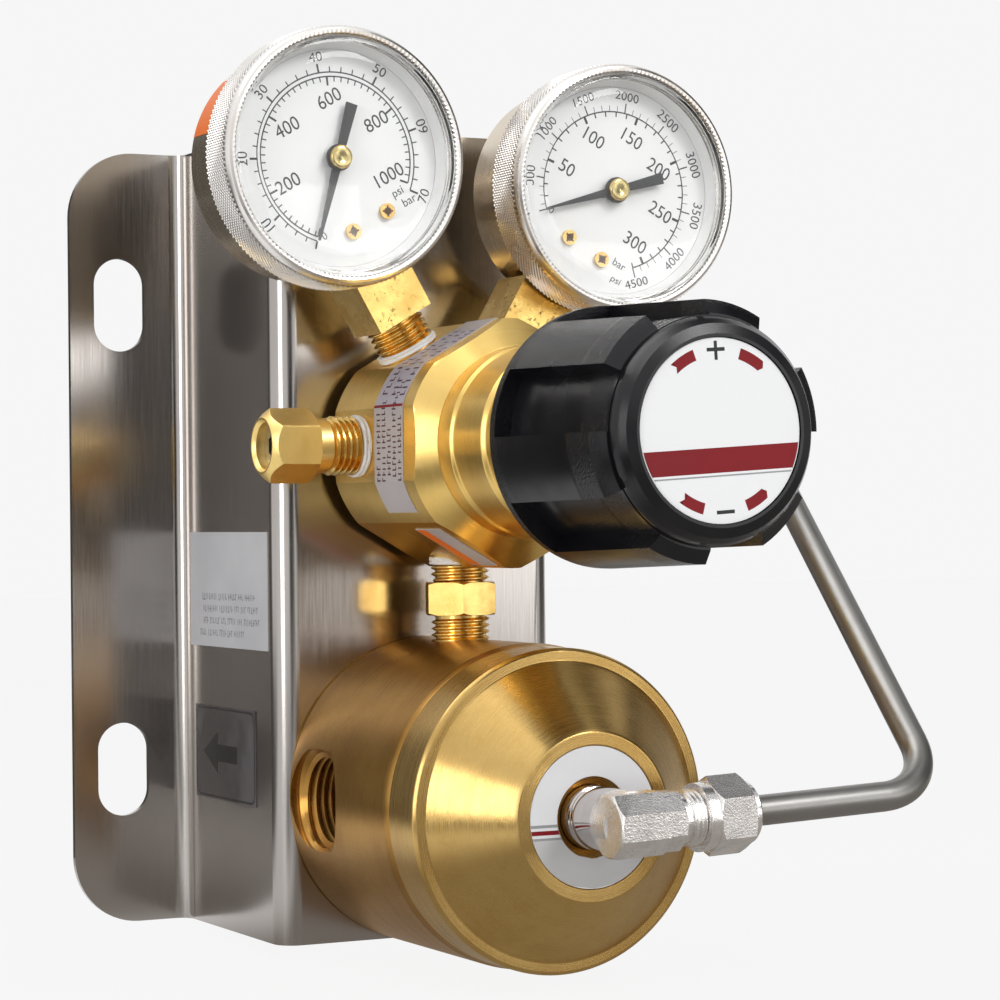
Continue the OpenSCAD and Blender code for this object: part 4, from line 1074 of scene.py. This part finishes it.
wall_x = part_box("bracket_labels")[0].x - INK * MM
WALL = Matrix.Translation((wall_x, 0, 0)) @ turn(-90, "Z") @ turn(90, "X")
strokes = moved(small_print(4, 32, 1.7, 2.85, 33), shift(11, -13.4, 0))
print_on("wall_print_small", strokes, WALL, FAINT)


def rounded(x0, x1, y0, y1, r, steps=6):
    """The outline of a rectangle with round corners."""
    out = []
    corners = ((x1 - r, y1 - r, 0), (x0 + r, y1 - r, 90),
               (x0 + r, y0 + r, 180), (x1 - r, y0 + r, 270))
    for cx, cy, a0 in corners:
        for i in range(steps + 1):
            a = math.radians(a0 + 90 * i / steps)
            out.append((cx + r * math.cos(a), cy + r * math.sin(a), 0))
    return out


def frame_line(x0, x1, y0, y1, r, width):
    """A line of a width along the inside of such an outline, as a flat shape."""
    outer = rounded(x0, x1, y0, y1, r)
    inner = rounded(x0 + width, x1 - width, y0 + width, y1 - width, r - width)
    n = len(outer)
    return outer + inner, [(i, (i + 1) % n, n + (i + 1) % n, n + i) for i in range(n)]


outline = frame_line(8.4, 44.8, -61.6, -40.4, 2.4, 0.45)
print_on("wall_print_frame", outline, WALL, SMOKE)
corners = ((34, -53), (34, -49), (22, -49), (22, -46), (13, -51), (22, -56), (22, -53))
arrow = ([(x, y, 0) for x, y in corners], [tuple(range(len(corners)))])
print_on("wall_print_arrow", arrow, WALL, SMOKE)


# Stage, light and camera, in metres

PALE = (0.925, 0.925, 0.925)
PALE_FLOOR = (0.938, 0.938, 0.938)
SKY = (0.97, 0.98, 1.0)
SKY_LEVEL = 0.38
WARM = (1.0, 0.93, 0.86)
# the tint of a card that glows brown as a painted reflection of the brass parts
BRASS_REFLECTION = (1.0, 0.62, 0.28)
CENTRE = Vector((0.0, -0.08, 0.0))
FLOOR_HALF = 3.0
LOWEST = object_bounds()[0].z
FLOOR_Z = LOWEST - 0.002
CARD_Z = LOWEST - 0.0015


def seen_as_pale(look, own, glow, share, output):
    """Mixes a plain pale glow over a shader for the rays that see the background."""
    rays = look.node("ShaderNodeLightPath").outputs
    seen = look.either(rays["Is Camera Ray"], rays["Is Glossy Ray"])
    seen = look.either(seen, rays["Is Transmission Ray"])
    look.surface(look.scaled(seen, share), own, glow, output)


def sheet(name, corners):
    """A flat piece of the studio, given by its four corners in metres."""
    mesh = bpy.data.meshes.new(name)
    mesh.from_pydata(corners, [], [(0, 1, 2, 3)])
    obj = bpy.data.objects.new(name, mesh)
    bpy.context.scene.collection.objects.link(obj)
    return obj


class Sky(Look):
    """The world's node tree, with the same short ways as a material's."""

    def __init__(self, name):
        world = bpy.data.worlds.new(name)
        bpy.context.scene.world = world
        world.use_nodes = True
        self.tree = world.node_tree


def stage():
    """A pale floor and a world that shows pale behind the object and in its metal."""
    s, z = FLOOR_HALF, FLOOR_Z
    floor = sheet("floor", [(-s, -s, z), (s, -s, z), (s, s, z), (-s, s, z)])
    look = Look("floor", (0.80, 0.80, 0.80), 0.0, 0.7)
    floor.data.materials.append(look.material)
    glow = look.glow(PALE_FLOOR)
    seen_as_pale(look, look.shader.outputs[0], glow, 0.96, "Material Output")

    sky = Sky("studio")
    back = sky.tree.nodes["Background"]
    back.inputs["Color"].default_value = (*SKY, 1)
    back.inputs["Strength"].default_value = SKY_LEVEL
    glow = sky.glow(PALE, "ShaderNodeBackground")
    seen_as_pale(sky, back.outputs[0], glow, 1.0, "World Output")


def aimed(place):
    """A frame at a place, whose -z looks at the centre of the stage."""
    spin = (CENTRE - Vector(place)).to_track_quat("-Z", "Y")
    return Matrix.Translation(place) @ spin.to_matrix().to_4x4()


def softbox(name, place, wide, high, level):
    """A lamp of a given brightness, whatever its size."""
    lamp = bpy.data.lights.new(name, "AREA")
    lamp.shape = "RECTANGLE"
    lamp.size, lamp.size_y = wide, high
    lamp.energy = level * math.pi * wide * high
    obj = bpy.data.objects.new(name, lamp)
    obj.matrix_world = aimed(place)
    bpy.context.scene.collection.objects.link(obj)


def card_on(name, to_world, wide, high, level, edge, tint):
    """A card with soft edges, seen only in the metal: dark ones as a studio has beside its table, and a brown one
    that glows as a painted reflection of brass.
    """
    signs = ((-1, -1), (1, -1), (1, 1), (-1, 1))
    obj = sheet(name, [to_world @ Vector((x * wide / 2, y * high / 2, 0)) for x, y in signs])
    obj.visible_camera = False
    obj.visible_diffuse = False
    obj.visible_shadow = False
    look = Look(name, (0, 0, 0), 0.0, 1.0)
    obj.data.materials.append(look.material)
    through = look.node("ShaderNodeBsdfTransparent").outputs[0]
    axes = look.axes(look.place(local=to_world))
    fades = []
    for axis, size in (("X", wide), ("Y", high)):
        far = look.node("ShaderNodeMath", operation="ABSOLUTE")
        look.link(axes[axis], far.inputs[0])
        fades.append(look.ramp(far.outputs[0], 1.0, 0.0, size / 2 - edge, size / 2))
    look.surface(look.product(*fades), through, look.glow([level * c for c in tint]))


def card(name, place, wide, high, level, edge, tint=WARM):
    """A card that faces the centre of the stage."""
    card_on(name, aimed(place), wide, high, level, edge, tint)


def floor_card(name, x0, x1, y0, y1, level, edge):
    """A card that lies just over the floor."""
    middle = Matrix.Translation(((x0 + x1) / 2, (y0 + y1) / 2, CARD_Z))
    card_on(name, middle, x1 - x0, y1 - y0, level, edge, WARM)


def camera():
    """The view that the photograph was fitted with."""
    yaw, pitch, roll = (math.radians(v) for v in (27.09, 0.36, -0.59))
    flat = math.cos(pitch)
    forward = Vector((math.sin(yaw) * flat, math.cos(yaw) * flat, math.sin(pitch)))
    level = Vector((math.cos(yaw), -math.sin(yaw), 0))
    upward = level.cross(forward)
    right = math.cos(roll) * level + math.sin(roll) * upward
    up = math.cos(roll) * upward - math.sin(roll) * level
    data = bpy.data.cameras.new("camera")
    data.sensor_width = 36
    data.lens = 105.68
    data.shift_x = 0.0021
    data.shift_y = -0.0011
    obj = bpy.data.objects.new("camera", data)
    rows = [[right[i], up[i], -forward[i], 0] for i in range(3)] + [[0, 0, 0, 1]]
    obj.matrix_world = Matrix.Translation((-0.2910, -0.6685, 0.0038)) @ Matrix(rows)
    bpy.context.scene.collection.objects.link(obj)
    bpy.context.scene.camera = obj


stage()
softbox("key", (0.46, -1.09, 0.85), 0.40, 0.40, 11.8)
softbox("right", (0.72, -1.12, -0.14), 0.56, 0.60, 1.3)
softbox("right_high", (0.38, -1.30, 0.10), 0.30, 0.22, 1.6)
softbox("side", (-1.15, -0.60, 0.10), 0.36, 0.74, 5.0)
softbox("top", (-0.42, 0.05, 1.05), 0.9, 0.8, 2.0)
card("card_camera", (-0.34, -1.36, -0.20), 0.78, 1.1, 0.02, 0.20)
card("card_upper", (1.00, -0.50, 0.78), 1.25, 1.15, 0.03, 0.25)
card("card_over", (0.52, 0.05, 1.00), 0.80, 0.80, 0.03, 0.20)
# painted reflection: a brown glowing card, seen only in the metal, puts the brass parts' colour into the plate's
# lower part
card("card_brass_reflection", (0.38, -1.25, -0.26), 0.44, 0.66, 0.18, 0.05, BRASS_REFLECTION)
card("card_left_back", (-0.60, 1.15, 0.0), 1.3, 1.5, 0.09, 0.25)
card("card_right", (1.30, -0.10, 0.05), 1.5, 1.9, 0.09, 0.30)
floor_card("card_floor_front", -0.12, 1.20, -1.25, 0.02, 0.33, 0.06)
floor_card("card_floor_camera", -0.42, -0.14, -1.25, -0.15, 0.12, 0.06)
floor_card("card_floor_back", -1.20, 0.40, 0.05, 1.20, 0.10, 0.10)
camera()
bpy.context.scene.view_settings.view_transform = "Standard"
